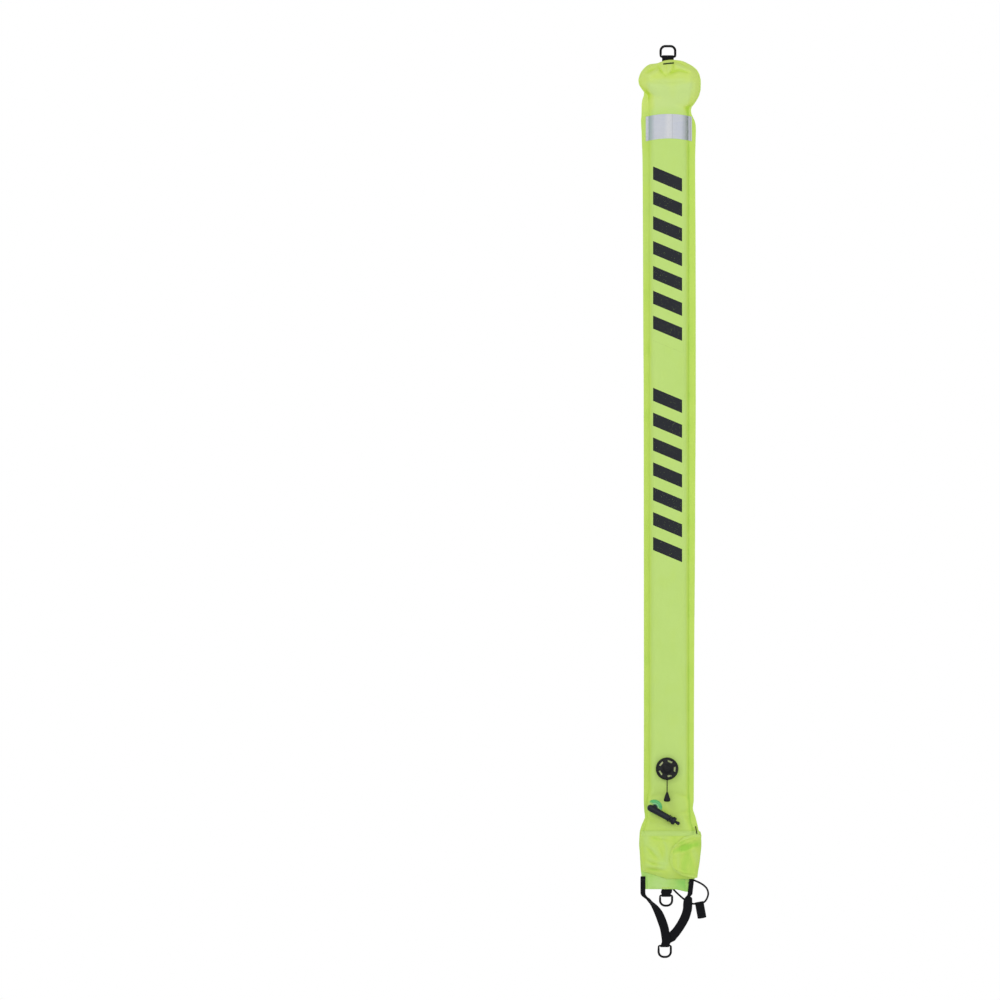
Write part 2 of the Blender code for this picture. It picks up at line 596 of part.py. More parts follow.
def build_pull(base, plastic, cord, group):
    """The guide in the cap's rim, and the pull cord with its knob."""
    cord_y = -(base + CORD_HEIGHT)
    rim = VALVE_Z - VALVE_RADIUS + GUIDE_INSET
    turned("opv_cord_guide", [
        (GUIDE_RADIUS - 0.4, GUIDE_LENGTH), (GUIDE_RADIUS, GUIDE_LENGTH - 0.4), (GUIDE_RADIUS, 0),
        (CORD_RADIUS + CLEAR, 0), (CORD_RADIUS + CLEAR, GUIDE_LENGTH),
    ], (CORD_X, cord_y, rim), (0, 0, -1), plastic, group, ring=True, steps=12)
    step = (CORD_BOTTOM + CLEAR - CORD_TOP) / (CORD_POINTS - 1)
    line = tube("opv_pull_cord", [(CORD_X, cord_y, CORD_TOP + step * i) for i in range(CORD_POINTS)],
                CORD_RADIUS, cord, group)
    knob = turned("opv_pull_knob", [
        (0, 0), (KNOB_TOP_RADIUS - 0.4, 0), (KNOB_TOP_RADIUS, -0.6), (KNOB_TOP_RADIUS + 0.4, -3.5),
        (KNOB_RADIUS - 0.6, -KNOB_LENGTH + 5), (KNOB_RADIUS, -KNOB_LENGTH + 2.6),
        (KNOB_RADIUS - 1.0, -KNOB_LENGTH + 0.5), (KNOB_RADIUS - 2.6, -KNOB_LENGTH), (0, -KNOB_LENGTH),
    ], (CORD_X, cord_y, CORD_BOTTOM), (0, 0, 1), plastic, group)
    pivot("pull_axis", (CORD_X, cord_y, CORD_BOTTOM), [line, knob], group)


def build_cap(seat, foot, out, plastic, group, cutters):
    """The slotted cap, with a guide tube for the stem inside."""
    top = seat + CAP_HEIGHT
    skirt = VALVE_RADIUS - CAP_WALL
    guide = STEM_RADIUS + CLEAR
    tube_foot = top - CAP_WALL - GUIDE_TUBE
    cap = turned("opv_cap", [
        (0, top), (5.0, top - 0.6), (9.0, top - 2.4), (10.0, top - 5.0), (SLOT_FLAT, top - 6.0),
        (VALVE_RADIUS - 1.0, top - 8.0), (VALVE_RADIUS, top - 10.0), (VALVE_RADIUS, seat), (skirt, seat),
        (skirt, top - 10.4), (skirt - 0.6, top - 9.2), (SLOT_FLAT - 0.7, top - 7.6), (8.4, top - 6.6),
        (7.4, top - 4.0), (guide + 1.2, top - CAP_WALL - 0.6), (guide + 1.2, tube_foot), (guide, tube_foot),
        (guide, top - CAP_WALL), (0, top - CAP_WALL),
    ], foot, out, plastic, group, steps=2 * TURN_STEPS)
    for number in range(SLOTS):
        turn = math.radians(SLOT_TURN + 360 / SLOTS * number)
        slot = box(f"cap_slot_{number + 1}", (-SLOT_WIDTH / 2, -3, -SLOT_LENGTH / 2),
                   (SLOT_WIDTH / 2, 3, SLOT_LENGTH / 2), None, cutters)
        slot.rotation_euler = (0, -turn, 0)
        spot = Vector((SLOT_RADIUS * math.cos(turn), -(top - 7.0), SLOT_RADIUS * math.sin(turn)))
        slot.location = (Vector(foot) + spot) * MM
        cut(cap, slot)
    reach = GUIDE_RADIUS + CLEAR
    rim = (CORD_X, foot[1] - CORD_HEIGHT, VALVE_Z - VALVE_RADIUS)
    hole = turned("cord_hole", [
        (0, CORD_ABOVE_RIM), (reach, CORD_ABOVE_RIM), (reach, -CORD_BELOW_HOLE), (0, -CORD_BELOW_HOLE),
    ], rim, (0, 0, 1), None, cutters, steps=12)
    cut(cap, hole)


def coil(radius, low, high, curls, per_curl=9):
    """Points of a coil as (x, z, height)."""
    count = curls * per_curl
    return [(radius * math.cos(2 * math.pi * i / per_curl), radius * math.sin(2 * math.pi * i / per_curl),
             low + (high - low) * i / count) for i in range(count + 1)]


def build_inflator(plastic, rubber, steel, clear, group, cutters):
    """The oral inflator: a swivelling barrel on a clear flange, with a sprung mouthpiece."""
    base = WAIST_PUFF + WELD_GAP + FABRIC
    slope = math.radians(BARREL_SLOPE)
    way = Vector((math.cos(slope), 0, -math.sin(slope)))
    side = Vector((math.sin(slope), 0, math.cos(slope)))
    foot = Vector((BARREL_X, -(base + BARREL_HEIGHT), BARREL_Z))
    turned("inflator_base_flange", [
        (FLANGE_RADIUS - 0.6, FLANGE_THICK), (FLANGE_RADIUS, 0), (FLANGE_BORE, 0),
        (FLANGE_BORE, FLANGE_THICK),
    ], (FLANGE_X, -(base + CLEAR), FLANGE_Z), (0, -1, 0), clear, group, ring=True)
    barrel = build_barrel(base, foot, way, plastic, group, cutters)
    fit = BARREL_BORE - CLEAR
    check = turned("inflator_check_valve", [
        (fit, CHECK_TO), (fit, CHECK_FROM), (CHECK_BORE, CHECK_FROM), (CHECK_BORE, CHECK_TO),
    ], foot, way, rubber, group, ring=True, steps=14)
    collar = build_collar(foot, way, plastic, group)
    nipple, seal = build_nipple(fit, foot, way, side, rubber, steel, group)
    curl = coil(PUSH_COIL, CHECK_TO + CLEAR + SPRING_WIRE, PISTON_FROM - CLEAR - SPRING_WIRE, PUSH_CURLS)
    spring = tube("inflator_spring", [foot + side * a + Vector((0, b, 0)) + way * h for a, b, h in curl],
                  SPRING_WIRE, steel, group, resolution=1)
    pivot("nipple_axis", foot, [nipple, seal, spring], group)
    pivot("swivel_axis", (FLANGE_X, 0, FLANGE_Z), [barrel, check, collar], group)


def build_barrel(base, foot, way, plastic, group, cutters):
    """The round-ended barrel, joined to its hollow stem."""
    profile = [(0, BARREL_FRONT), (BARREL_RADIUS - 0.5, BARREL_FRONT), (BARREL_RADIUS, BARREL_FRONT - 0.5)]
    for step in range(6):
        turn = math.pi / 2 * step / 5
        profile.append((BARREL_RADIUS * math.cos(turn), BARREL_BACK + BARREL_RADIUS * (1 - math.sin(turn))))
    barrel = turned("inflator_elbow", profile, foot, way, plastic, group)
    stem_low = CLEAR + FLANGE_THICK + CLEAR
    stem_foot = (FLANGE_X, -(base + stem_low), FLANGE_Z)
    reach = BARREL_HEIGHT - stem_low
    stem = turned("elbow_stem", [(0, reach), (STEM_TOP, reach), (STEM_FOOT, 0), (0, 0)], stem_foot,
                  (0, -1, 0), None, cutters)
    cut(barrel, stem, "UNION")
    bore = turned("barrel_bore", [(0, BARREL_FRONT + 3), (BARREL_BORE, BARREL_FRONT + 3),
                                  (BARREL_BORE, BORE_END), (0, BORE_END)], foot, way, None, cutters)
    cut(barrel, bore)
    air = turned("stem_bore", [(0, reach), (STEM_BORE, reach), (STEM_BORE, -3), (0, -3)], stem_foot,
                 (0, -1, 0), None, cutters, steps=12)
    cut(barrel, air)
    return barrel


def build_collar(foot, way, plastic, group):
    """The ringed collar that holds the mouthpiece in."""
    start = BARREL_FRONT + CLEAR
    full, groove = BARREL_RADIUS + 0.2, BARREL_RADIUS - 0.9
    hole = NECK_RADIUS + CLEAR
    return turned("inflator_collar", [
        (hole, COLLAR_END), (BARREL_RADIUS - 2.2, COLLAR_END), (BARREL_RADIUS - 0.2, COLLAR_END - 1.6),
        (full, COLLAR_END - 3.0), (groove, COLLAR_END - 4.6), (full, COLLAR_END - 5.6), (full, start + 0.8),
        (BARREL_RADIUS - 0.6, start), (BARREL_BORE, start), (BARREL_BORE, COLLAR_END - COLLAR_ROOF),
        (hole, COLLAR_END - COLLAR_ROOF),
    ], foot, way, plastic, group, ring=True)


def build_nipple(fit, foot, way, side, rubber, steel, group):
    """The mouthpiece with its piston, and the O-ring in the piston's groove."""
    end = PISTON_FROM + PISTON_LENGTH
    floor = fit - GROOVE_DEPTH
    nipple = turned("inflator_nipple", [
        (0, NIPPLE_END), (TIP_RADIUS - 1.0, NIPPLE_END), (TIP_RADIUS, NIPPLE_END - 1.2),
        (TIP_RADIUS, NIPPLE_END - 4.6), (NECK_RADIUS, NIPPLE_END - 5.8), (NECK_RADIUS, end), (fit, end),
        (fit, PISTON_FROM + GROOVE_TO), (floor, PISTON_FROM + GROOVE_TO),
        (floor, PISTON_FROM + GROOVE_FROM), (fit, PISTON_FROM + GROOVE_FROM), (fit, PISTON_FROM),
        (0, PISTON_FROM),
    ], foot, way, steel, group, steps=16)
    middle = foot + way * (PISTON_FROM + (GROOVE_FROM + GROOVE_TO) / 2)
    points = []
    for step in range(16):
        turn = 2 * math.pi * step / 16
        across = side * math.cos(turn) + Vector((0, 1, 0)) * math.sin(turn)
        points.append(middle + across * (fit - O_RING_WIRE))
    seal = tube("inflator_o_ring", points, O_RING_WIRE, rubber, group, closed=True, resolution=1)
    return nipple, seal


def pouch_shape(share):
    return along(list(zip(POUCH_SIDE, POUCH_SHAPE)), share)


def pouch_rise(x, row):
    """The pouch's lower left corner is drawn up."""
    fade = max(0.0, (POUCH_ROWS[2] - row) / (POUCH_ROWS[2] - POUCH_BOTTOM))
    return POUCH_CORNER_RISE * max(0.0, (POUCH_CORNER_X - x) / 58.0) * fade


def build_pouch(fabric, hook, black, group):
    columns = len(POUCH_SIDE)

    def on_pouch(share, row):
        left, right = along(LEFT_EDGE, row) + POUCH_INSET, along(RIGHT_EDGE, row) - POUCH_INSET
        x = left + (right - left) * share
        depth = POUCH_DEPTH * along(POUCH_PUFF, row) * pouch_shape(share)
        return x, -(WELD_GAP + FABRIC + CLEAR + depth), row + pouch_rise(x, row)

    def place(i, j):
        return on_pouch(POUCH_SIDE[i], POUCH_ROWS[j])

    sheet("pouch_front_panel", columns, len(POUCH_ROWS), place, (0, -1, 0), 0, FABRIC, fabric, group)
    hem_rows = [POUCH_TOP, POUCH_ROWS[1], POUCH_TOP - HEM_HEIGHT]

    def hem(i, j):
        return on_pouch(POUCH_SIDE[i + 2], hem_rows[j])

    sheet("pouch_top_hem", columns - 4, 3, hem, (0, -1, 0), FABRIC + CLEAR, FABRIC, fabric, group)
    front = WELD_GAP + FABRIC + CLEAR + POUCH_DEPTH + FABRIC + CLEAR
    box("pouch_loop_patch", (PATCH_LEFT, -(front + PATCH), PATCH_FOOT), (PATCH_RIGHT, -front, PATCH_TOP),
        hook, group)
    tab_y = -(WELD_GAP + FABRIC + CLEAR)
    left, right, foot, top = SIDE_TAB
    box("pouch_side_tab", (left, tab_y - 1.0, foot), (right, tab_y, top), black, group)


def build_flap(fabric, hook, group):
    columns = [0.0, 0.13, 0.30, 0.48, 0.62, 0.71, 0.80, 0.90, 0.965, 1.0]
    rim = BINDING / (HINGE_TOP[1] - HINGE_FOOT[1])
    cells = [0.0, rim, 0.28, 0.5, 0.72, 1 - rim, 1.0]

    def place(i, j):
        down = cells[j]
        free = FLAP_FREE + FLAP_ROUND * abs(2 * down - 1) ** 4
        right = HINGE_TOP[0] + (HINGE_FOOT[0] - HINGE_TOP[0]) * down
        x = free + (right - free) * columns[i]
        top, foot = along(FLAP_TOP, x), along(FLAP_FOOT, x)
        row = top + (foot - top) * down
        left = along(LEFT_EDGE, row) - 2.0
        shape = pouch_shape((x - left) / (right - left))
        return x, FABRIC / 2 - HINGE_DEPTH - (POUCH_DEPTH + FLAP_LIFT) * shape, row

    flap = sheet("pouch_flap", len(columns), len(cells), place, (0, -1, 0), 0, FABRIC, fabric, group)

    def on_edge(centre):
        foot, top = along(FLAP_FOOT, centre.x), along(FLAP_TOP, centre.x)
        share = (centre.z - top) / (foot - top)
        near_edge = share < rim or share > 1 - rim or centre.x < FLAP_FREE + FLAP_ROUND
        return near_edge and centre.x < BINDING_END

    binding = sheet("flap_binding", len(columns), len(cells), place, (0, -1, 0), FABRIC + CLEAR,
                    BINDING_THICK, fabric, group, keep=on_edge)
    back = WELD_GAP + FABRIC + CLEAR + POUCH_DEPTH + FABRIC + CLEAR + PATCH + CLEAR
    patch = box("flap_hook_patch", (PATCH_LEFT, -(back + PATCH), PATCH_FOOT),
                (PATCH_RIGHT, -back, PATCH_TOP), hook, group)
    pivot("flap_hinge", (HINGE_TOP[0], -HINGE_DEPTH, HINGE_TOP[1]), [flap, binding, patch], group)


def build_tail(fabric, webbing, metal, thread, group):
    """The sewn band across the tail, and the tail ring in its webbing on the back."""
    xs = TAIL_BAND_PLACES
    front = WELD_GAP + FABRIC + CLEAR

    def place(i, j):
        top = POUCH_BOTTOM + pouch_rise(xs[i], POUCH_BOTTOM) - TAIL_BAND_GAP
        row = top + (TAIL_Z - top) * j
        return xs[i], -front, row + end_shift(xs[i], row)

    sheet("tail_band", len(xs), 2, place, (0, -1, 0), 0, FABRIC, fabric, group)
    ring_y = front + WEBBING + CLEAR
    build_ring("tail_d_ring", (TAIL_RING_X, ring_y, TAIL_BAR_Z), SMALL_EYE_WIDTH, TAIL_EYE_HEIGHT,
               SMALL_WIRE, SMALL_RING_ROUND, -1, metal, group)
    path = loop_path(TAIL_RING_X, ring_y, TAIL_BAR_Z, SMALL_WIRE, TAIL_LOOP_TOP, -1)
    half = Vector((TAIL_LOOP_WIDTH / 2, 0, 0))
    strip("tail_webbing_loop", path, lambda j: half, WEBBING, webbing, group)
    build_tack("tail_bar_tack", TAIL_RING_X, front + FABRIC + CLEAR, TAIL_TACK_FOOT, TAIL_TACK_WIDTH,
               thread, group)


def build_tack(name, x, depth, foot, width, thread, group):
    """A bar of dense stitching on a front face."""
    box(name, (x - width / 2, -(depth + TACK_THICK), foot), (x + width / 2, -depth, foot + TACK_HIGH),
        thread, group)


def build_anchor(name, edge_top, edge_foot, z_top, side, webbing, thread, group):
    """Bridle webbing folded lengthwise round the tail's edge and sewn down."""
    layer = WELD_GAP + FABRIC + CLEAR + WEBBING / 2
    middle = (edge_top + edge_foot) / 2 + side * 2 * CLEAR
    z = (z_top + ANCHOR_FOOT) / 2
    half = Vector(((edge_top - edge_foot) / 2, 0, (z_top - ANCHOR_FOOT) / 2))
    inner = middle - side * ANCHOR_REACH
    path = [(inner, -layer, z)]
    for step in range(7):
        turn = math.pi * step / 6
        path.append((middle + side * layer * math.sin(turn), -layer * math.cos(turn), z))
    path.append((inner, layer, z))
    strip(name, path, lambda j: half, WEBBING, webbing, group)
    out = layer + WEBBING / 2 + CLEAR
    build_tack(name + "_tack", middle - side * ANCHOR_TACK_INSET, out, z_top - ANCHOR_TACK_DROP,
               ANCHOR_TACK_WIDTH, thread, group)


def build_bridle(webbing, metal, thread, group):
    build_anchor("bridle_anchor_left", -58.0, -58.0, ANCHOR_TOP_LEFT, -1, webbing, thread, group)
    build_anchor("bridle_anchor_right", 51.0, 48.6, ANCHOR_TOP_RIGHT, 1, webbing, thread, group)
    around = loop_path(BRIDLE_RING_X, 0, BRIDLE_BAR_Z, SMALL_WIRE, BRIDLE_BAR_Z + BRIDLE_LOOP_LENGTH, -1)
    flat = (BRIDLE_WIDTH / 2, 0.0, 0.0)
    stations = list(LEFT_LEG) + [(*point, *flat) for point in around[:-1]] + list(RIGHT_LEG)
    strap = strip("bridle_strap", [station[:3] for station in stations], lambda j: Vector(stations[j][3:]),
                  WEBBING, webbing, group)
    pivot("bridle_hinge", (0, 0, BRIDLE_AXIS_Z), [strap], group)
    build_ring("bridle_d_ring", (BRIDLE_RING_X, 0, BRIDLE_BAR_Z), SMALL_EYE_WIDTH, BRIDLE_EYE_HEIGHT,
               SMALL_WIRE, SMALL_RING_ROUND, -1, metal, group)


def build_bungee(webbing, cord, group):
    """The shock cord loop, whose ends are sewn into two blocks on the back."""
    points = smooth_route(BUNGEE_ROUTE, BUNGEE_POINTS)
    tube("bungee_loop", points, BUNGEE_RADIUS, cord, group)
    back = WELD_GAP + FABRIC + CLEAR
    for name, tip, before in (("bungee_anchor_low", BUNGEE_ROUTE[0], BUNGEE_ROUTE[1]),
                              ("bungee_anchor_high", BUNGEE_ROUTE[-1], BUNGEE_ROUTE[-2])):
        way = (Vector(tip) - Vector(before)).normalized()
        far = back + 2 * BUNGEE_RADIUS + 2 * CLEAR
        block = box(name, (-CORD_BLOCK_WIDTH / 2, back, CLEAR),
                    (CORD_BLOCK_WIDTH / 2, far, CLEAR + CORD_BLOCK), webbing, group, bevel=CORD_BLOCK_ROUND)
        block.rotation_euler = (0, math.atan2(way.x, way.z), 0)
        block.location = Vector((tip[0], 0, tip[2])) * MM


def build_tab(webbing, group):
    """The webbing tab folded over the shock cord, its two plies hanging down."""
    lean = math.radians(TAB_LEAN)
    down = Vector((math.sin(lean), 0, -math.cos(lean)))
    across = Vector((math.cos(lean), 0, math.sin(lean))) * TAB_WIDTH / 2
    radius = BUNGEE_RADIUS + TAB_SLACK + TAB_PLY / 2
    ply = Vector((0, TAB_PLY / 2 + TAB_GAP, 0))
    middle = Vector((TAB_X, TAB_Y, TAB_Z))
    foot, neck = middle + down * TAB_LENGTH, middle + down * radius * LOOP_NECK
    path = [foot - ply, neck - ply]
    for turn in loop_turns():
        path.append(middle + Vector((0, -radius * math.cos(turn), 0)) - down * radius * math.sin(turn))
    strip("bungee_tab", path + [neck + ply, foot + ply], lambda j: across, TAB_PLY, webbing, group)


def main():
    clear_scene()
    group = new_collection("surface_marker_buoy")
    cutters = new_collection("cutters")
    fabric = material("lime_fabric", LIME, 0.55)
    band = material("reflective_tape", (0.58, 0.60, 0.62), 0.35)
    webbing = material("black_webbing", BLACK, 0.85)
    plastic = material("black_plastic", (0.02, 0.022, 0.026), 0.4)
    metal = material("coated_ring", (0.014, 0.014, 0.015), 0.32)
    rubber = material("black_rubber", (0.02, 0.02, 0.02), 0.7)
    steel = material("stainless_steel", (0.6, 0.6, 0.6), 0.3, 1.0)
    clear = material("clear_flange", (0.13, 0.50, 0.15), 0.3)
    thread = material("thread", (0.10, 0.22, 0.02), 0.8)
    hook = material("hook_and_loop", (0.36, 0.60, 0.10), 0.9)
    cord = material("cord_cover", (0.015, 0.015, 0.016), 0.8)
    build_panels(fabric, group, cutters)
    build_band(band, group)
    build_top(webbing, metal, group)
    build_valve(plastic, rubber, steel, fabric, cord, group, cutters)
    build_inflator(plastic, rubber, steel, clear, group, cutters)
    build_pouch(fabric, hook, webbing, group)
    build_flap(fabric, hook, group)
    build_tail(fabric, webbing, metal, thread, group)
    build_bridle(webbing, metal, thread, group)
    build_bungee(webbing, cord, group)
    build_tab(webbing, group)


main()
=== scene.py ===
"""Looks of a surface marker buoy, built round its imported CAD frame.

Lengths are millimetres, in the frame of the part: X to the right, Z up, the front towards -Y,
and the origin where the top ring bears. Most pieces stand for a CAD node and sit where it does.
"""

import math

import bmesh
import bpy
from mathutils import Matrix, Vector, noise
from mathutils.bvhtree import BVHTree

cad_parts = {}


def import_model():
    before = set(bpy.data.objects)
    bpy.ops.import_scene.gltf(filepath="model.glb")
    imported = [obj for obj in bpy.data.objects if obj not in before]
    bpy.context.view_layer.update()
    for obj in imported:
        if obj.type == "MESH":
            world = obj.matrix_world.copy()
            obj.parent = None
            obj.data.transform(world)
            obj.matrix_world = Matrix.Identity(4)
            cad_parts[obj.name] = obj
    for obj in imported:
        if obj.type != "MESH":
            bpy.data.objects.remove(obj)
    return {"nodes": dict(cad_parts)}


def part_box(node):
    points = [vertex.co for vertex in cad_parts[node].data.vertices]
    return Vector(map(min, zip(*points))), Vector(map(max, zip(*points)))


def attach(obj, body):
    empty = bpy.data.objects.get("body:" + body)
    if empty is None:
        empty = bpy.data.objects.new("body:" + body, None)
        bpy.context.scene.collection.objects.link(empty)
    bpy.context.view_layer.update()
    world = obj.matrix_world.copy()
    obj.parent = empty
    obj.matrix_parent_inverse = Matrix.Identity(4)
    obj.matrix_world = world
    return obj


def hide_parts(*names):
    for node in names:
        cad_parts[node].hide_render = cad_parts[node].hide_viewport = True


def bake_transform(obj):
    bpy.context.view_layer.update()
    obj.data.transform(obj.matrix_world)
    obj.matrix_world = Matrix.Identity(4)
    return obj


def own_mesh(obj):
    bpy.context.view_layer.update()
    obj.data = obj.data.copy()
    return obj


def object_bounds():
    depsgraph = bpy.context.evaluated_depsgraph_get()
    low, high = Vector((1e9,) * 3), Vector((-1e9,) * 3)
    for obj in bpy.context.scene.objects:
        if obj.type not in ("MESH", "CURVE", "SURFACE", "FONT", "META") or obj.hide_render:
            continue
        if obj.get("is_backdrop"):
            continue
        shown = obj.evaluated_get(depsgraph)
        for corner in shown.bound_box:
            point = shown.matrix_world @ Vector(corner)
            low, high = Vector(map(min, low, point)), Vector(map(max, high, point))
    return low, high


MM = 0.001
CLEAR = 0.3
WELD_GAP = CLEAR / 2
FABRIC = 0.8
WEBBING = 1.3
PATCH = 0.8
SKIN = WELD_GAP + FABRIC      # from the weld plane to the outer face of flat cloth
FRONT, BACK, UP = (0, -1, 0), (0, 1, 0), (0, 0, 1)
FOOT = -1628.0                # where the even stretch of the tube ends


def drops_from_foot(stations):
    """Points of a route, (x, y, how far below FOOT, and any further values)."""
    return [(x, y, FOOT - drop, *rest) for x, y, drop, *rest in stations]


def from_foot(stations):
    """Stations whose heights are given from FOOT."""
    return [(FOOT + row, value) for row, value in stations]


def folds_from_foot(folds):
    """Folds, (line of (x, z), width, height outwards), whose z is given from FOOT."""
    return [([(x, FOOT + z) for x, z in line], width, height) for line, width, height in folds]


SHARPEST, CAD_SHARPEST = 48, 40     # steepest smooth edges in degrees, on pieces and on CAD meshes

# Camera and floor
FRAME_WIDTH = 2200.0
FRAME_X, FRAME_Z = -370.7, -994.8
CAMERA_AWAY = 4000.0
FLOOR_Z = -2040.0

# Outline, welds and puff of the tube and tail, (height, value) from top to bottom
TOP_Z, HEAD_BOTTOM = -34.0, -74.0
TAIL_TOP, TAIL_Z, TAIL_DROP = FOOT - 201, FOOT - 223, 6.0
SLANT_FROM, SLANT_TO = 9.0, 45.0
TOP_LIFT = [
    # how far the top edge stands above its row, by x
    (-42, -1.4), (-35, -1.3), (-28.5, -1.1), (-22, 0.5), (-17, 2.6), (-12, 4.6), (-6, 6.1), (2, 7.0),
    (10, 7.3), (17.5, 6.7), (24, 6.0), (31, 4.4), (37.5, 2.4), (44, 0.5), (50, 0.0),
]
LEFT_EDGE = [
    (-34, -36), (-35, -41.8), (-37, -45.8), (-39.1, -48.6), (-42, -52), (-45.6, -55.2), (-50, -58.7),
    (-55.2, -61.8), (-60, -63.6), (-65, -65), (-71.5, -66.3), (-78.5, -65.4), (-85, -62.8),
    (-91.7, -58.3), (-98.3, -54.1), (-105, -54.5), (-111.5, -56.7), (-118, -58.3), (-125, -59.1),
    (-151, -59.6), (-158, -60.5), (-171, -60.1), (-184, -59.3), (-204, -58.7), (-248, -57.2),
    (-424, -56.2), (-600, -55.6), (-776, -54.6),
] + from_foot([
    (148, -54.1), (-28, -54.4), (-45, -53.8), (-54, -53), (-62, -52), (-66, -52.3), (-72, -54.7),
    (-81, -58.7), (-90, -61.6), (-98, -63.4), (-125, -64.6), (-142, -63.3), (-160, -62.3), (-178, -61.3),
    (-194, -59.5), (-200, -58.6), (-223, -58.6),
])
RIGHT_EDGE = [
    (-34, 38), (-35, 41.5), (-35.6, 44.2), (-38.8, 50.8), (-43.6, 57.4), (-50.5, 64), (-54.5, 66.2),
    (-58.7, 68.2), (-65.3, 69.8), (-72, 71), (-78.5, 71.1), (-92, 70.7), (-98.3, 69.2), (-105, 67.5),
    (-111.5, 64.2), (-118, 60.3), (-124.7, 55.7), (-131.3, 50.8), (-138, 49.6), (-144.5, 50.5),
    (-151, 53), (-157.7, 56.5), (-164.3, 58.7), (-171, 59.9), (-184, 60.3), (-204, 59.7), (-248, 58.7),
    (-424, 59.6), (-600, 60), (-776, 60), (-952, 59), (-1128, 58.2), (-1304, 56.8),
] + from_foot([
    (148, 56.1), (-28, 55.6), (-37, 54.4), (-45.5, 53.6), (-54, 55.8), (-63, 59.1), (-72, 61.4),
    (-81, 63.7), (-89.5, 65.4), (-94, 66.5), (-97, 70.6), (-107, 71.8), (-125, 72.4), (-142, 70.9),
    (-172, 67.2), (-198, 60.5), (-201, 54.2), (-223, 50),
])
LEFT_SEAM = [
    (-34, -30), (-35, -39.4), (-39, -46), (-45.6, -52.6), (-55.2, -59.2), (-65, -62.4), (-71.5, -63.6),
    (-78.5, -62.7), (-85, -60), (-91.7, -55.5), (-98.3, -51), (-105, -45.5), (-118, -44), (-140, -43),
] + from_foot([
    (-2, -43), (-26, -47), (-62, -46.5), (-72, -48), (-94, -54), (-223, -54),
])
RIGHT_SEAM = [
    (-34, 32), (-35, 38.9), (-38.8, 47.9), (-43.6, 54.4), (-50.5, 61), (-58.7, 65.4), (-65.3, 67.1),
    (-72, 68.3), (-92, 68), (-98.3, 66.4), (-105, 64.6), (-111.5, 61.2), (-118, 57.2), (-124.7, 52.6),
    (-131.3, 45.2), (-138, 43.9), (-151, 44.4),
] + from_foot([
    (-2, 44.4), (-32, 46), (-72, 48), (-94, 54), (-201, 46), (-223, 41),
])
PUFF = [
    (-34, 1.9), (-38, 6), (-43, 11.5), (-50, 17.5), (-60, 22.5), (-74, 25.5), (-90, 23.5), (-104, 19),
    (-120, 14.5), (-140, 11.5),
] + from_foot([
    (14, 11.5), (-26, 6), (-92, 5.9), (-106, 4.6), (-140, 0.3), (-223, 0),
])
SHOULDER = [
    (-34, 8), (-50, 18), (-74, 25), (-104, 18), (-140, 13),
] + from_foot([
    (0, 13), (-24, 6), (-223, 5),
])
SHOULDER_POWER = 1.8
HEAD_FOLDS = [
    # line of (x, z), width, height outwards
    ([(-23, -40), (-17, -52), (-7, -63)], 3.2, -4.0),
    ([(-15, -37), (-12, -50), (-8, -60)], 2.6, 1.6),
    ([(-4, -37), (-4, -50), (-6, -61)], 2.4, -1.3),
    ([(3, -37), (2, -50), (-2, -60)], 2.6, 1.4),
    ([(11, -37), (11, -48), (5, -57)], 2.6, -3.0),
    ([(-6, -63), (8, -57), (22, -53), (44, -55)], 3.2, -4.8),
    ([(14, -42), (28, -47), (46, -50)], 3.0, 2.6),
    ([(16, -36), (30, -40), (44, -45)], 2.6, -2.4),
    ([(-26, -43), (-38, -49), (-50, -56)], 3.6, -3.2),
    ([(-20, -48), (-34, -56), (-48, -63)], 3.4, 2.2),
    ([(-44, -66), (-26, -71), (0, -72), (28, -70), (50, -65)], 4.2, 1.8),
    ([(-46, -75), (-26, -79), (0, -80), (30, -79), (52, -74)], 4.5, -1.2),
    ([(-52, -66), (-47, -84), (-45, -104), (-43, -124)], 2.8, -2.6),
    ([(55, -68), (52, -90), (49, -112), (45, -132)], 3.0, -2.6),
    ([(-58, -86), (-48, -97), (-38, -103)], 3.0, -3.2),
    ([(60, -116), (50, -127), (36, -132)], 3.2, -3.2),
    ([(-46, -104), (-30, -109), (-12, -110)], 5.0, -1.2),
    ([(46, -132), (28, -126), (10, -124)], 5.0, -1.2),
]
WAIST_FOLDS = folds_from_foot([
    ([(-50, -24), (-34, -18), (-14, -17)], 4.0, -1.2),
    ([(50, -26), (38, -20), (16, -14)], 4.5, -1.6),
    ([(52, -46), (40, -53), (24, -58)], 4.0, -1.8),
    ([(-48, -62), (-38, -71), (-20, -76)], 3.6, -1.6),
    ([(-26, -79), (-6, -84), (16, -82)], 2.2, 1.4),
    ([(-30, -84), (-8, -88), (14, -87)], 2.0, 1.0),
    ([(34, -62), (44, -76), (46, -88)], 3.0, -1.4),
    ([(26, -60), (34, -74), (36, -88)], 3.0, 1.2),
])

# Band, loops, valve and flange
BAND_LEFT, BAND_RIGHT, BAND_TOP, BAND_HEIGHT, BAND_BOW = -50.0, 51.5, -145.4, 53.9, 6.3
TOP_LOOP_X, TAIL_LOOP_X = -1.3, -5.3
TOP_BAR_Z, TAIL_BAR_Z = -20.0, FOOT - 236.5
TOP_WIRE, TAIL_WIRE = 2.2, 1.95
VALVE_X, VALVE_Z, VALVE_RADIUS = -3.1, FOOT + 42, 25.0
FLANGE_X, FLANGE_Z = -31.0, FOOT - 43


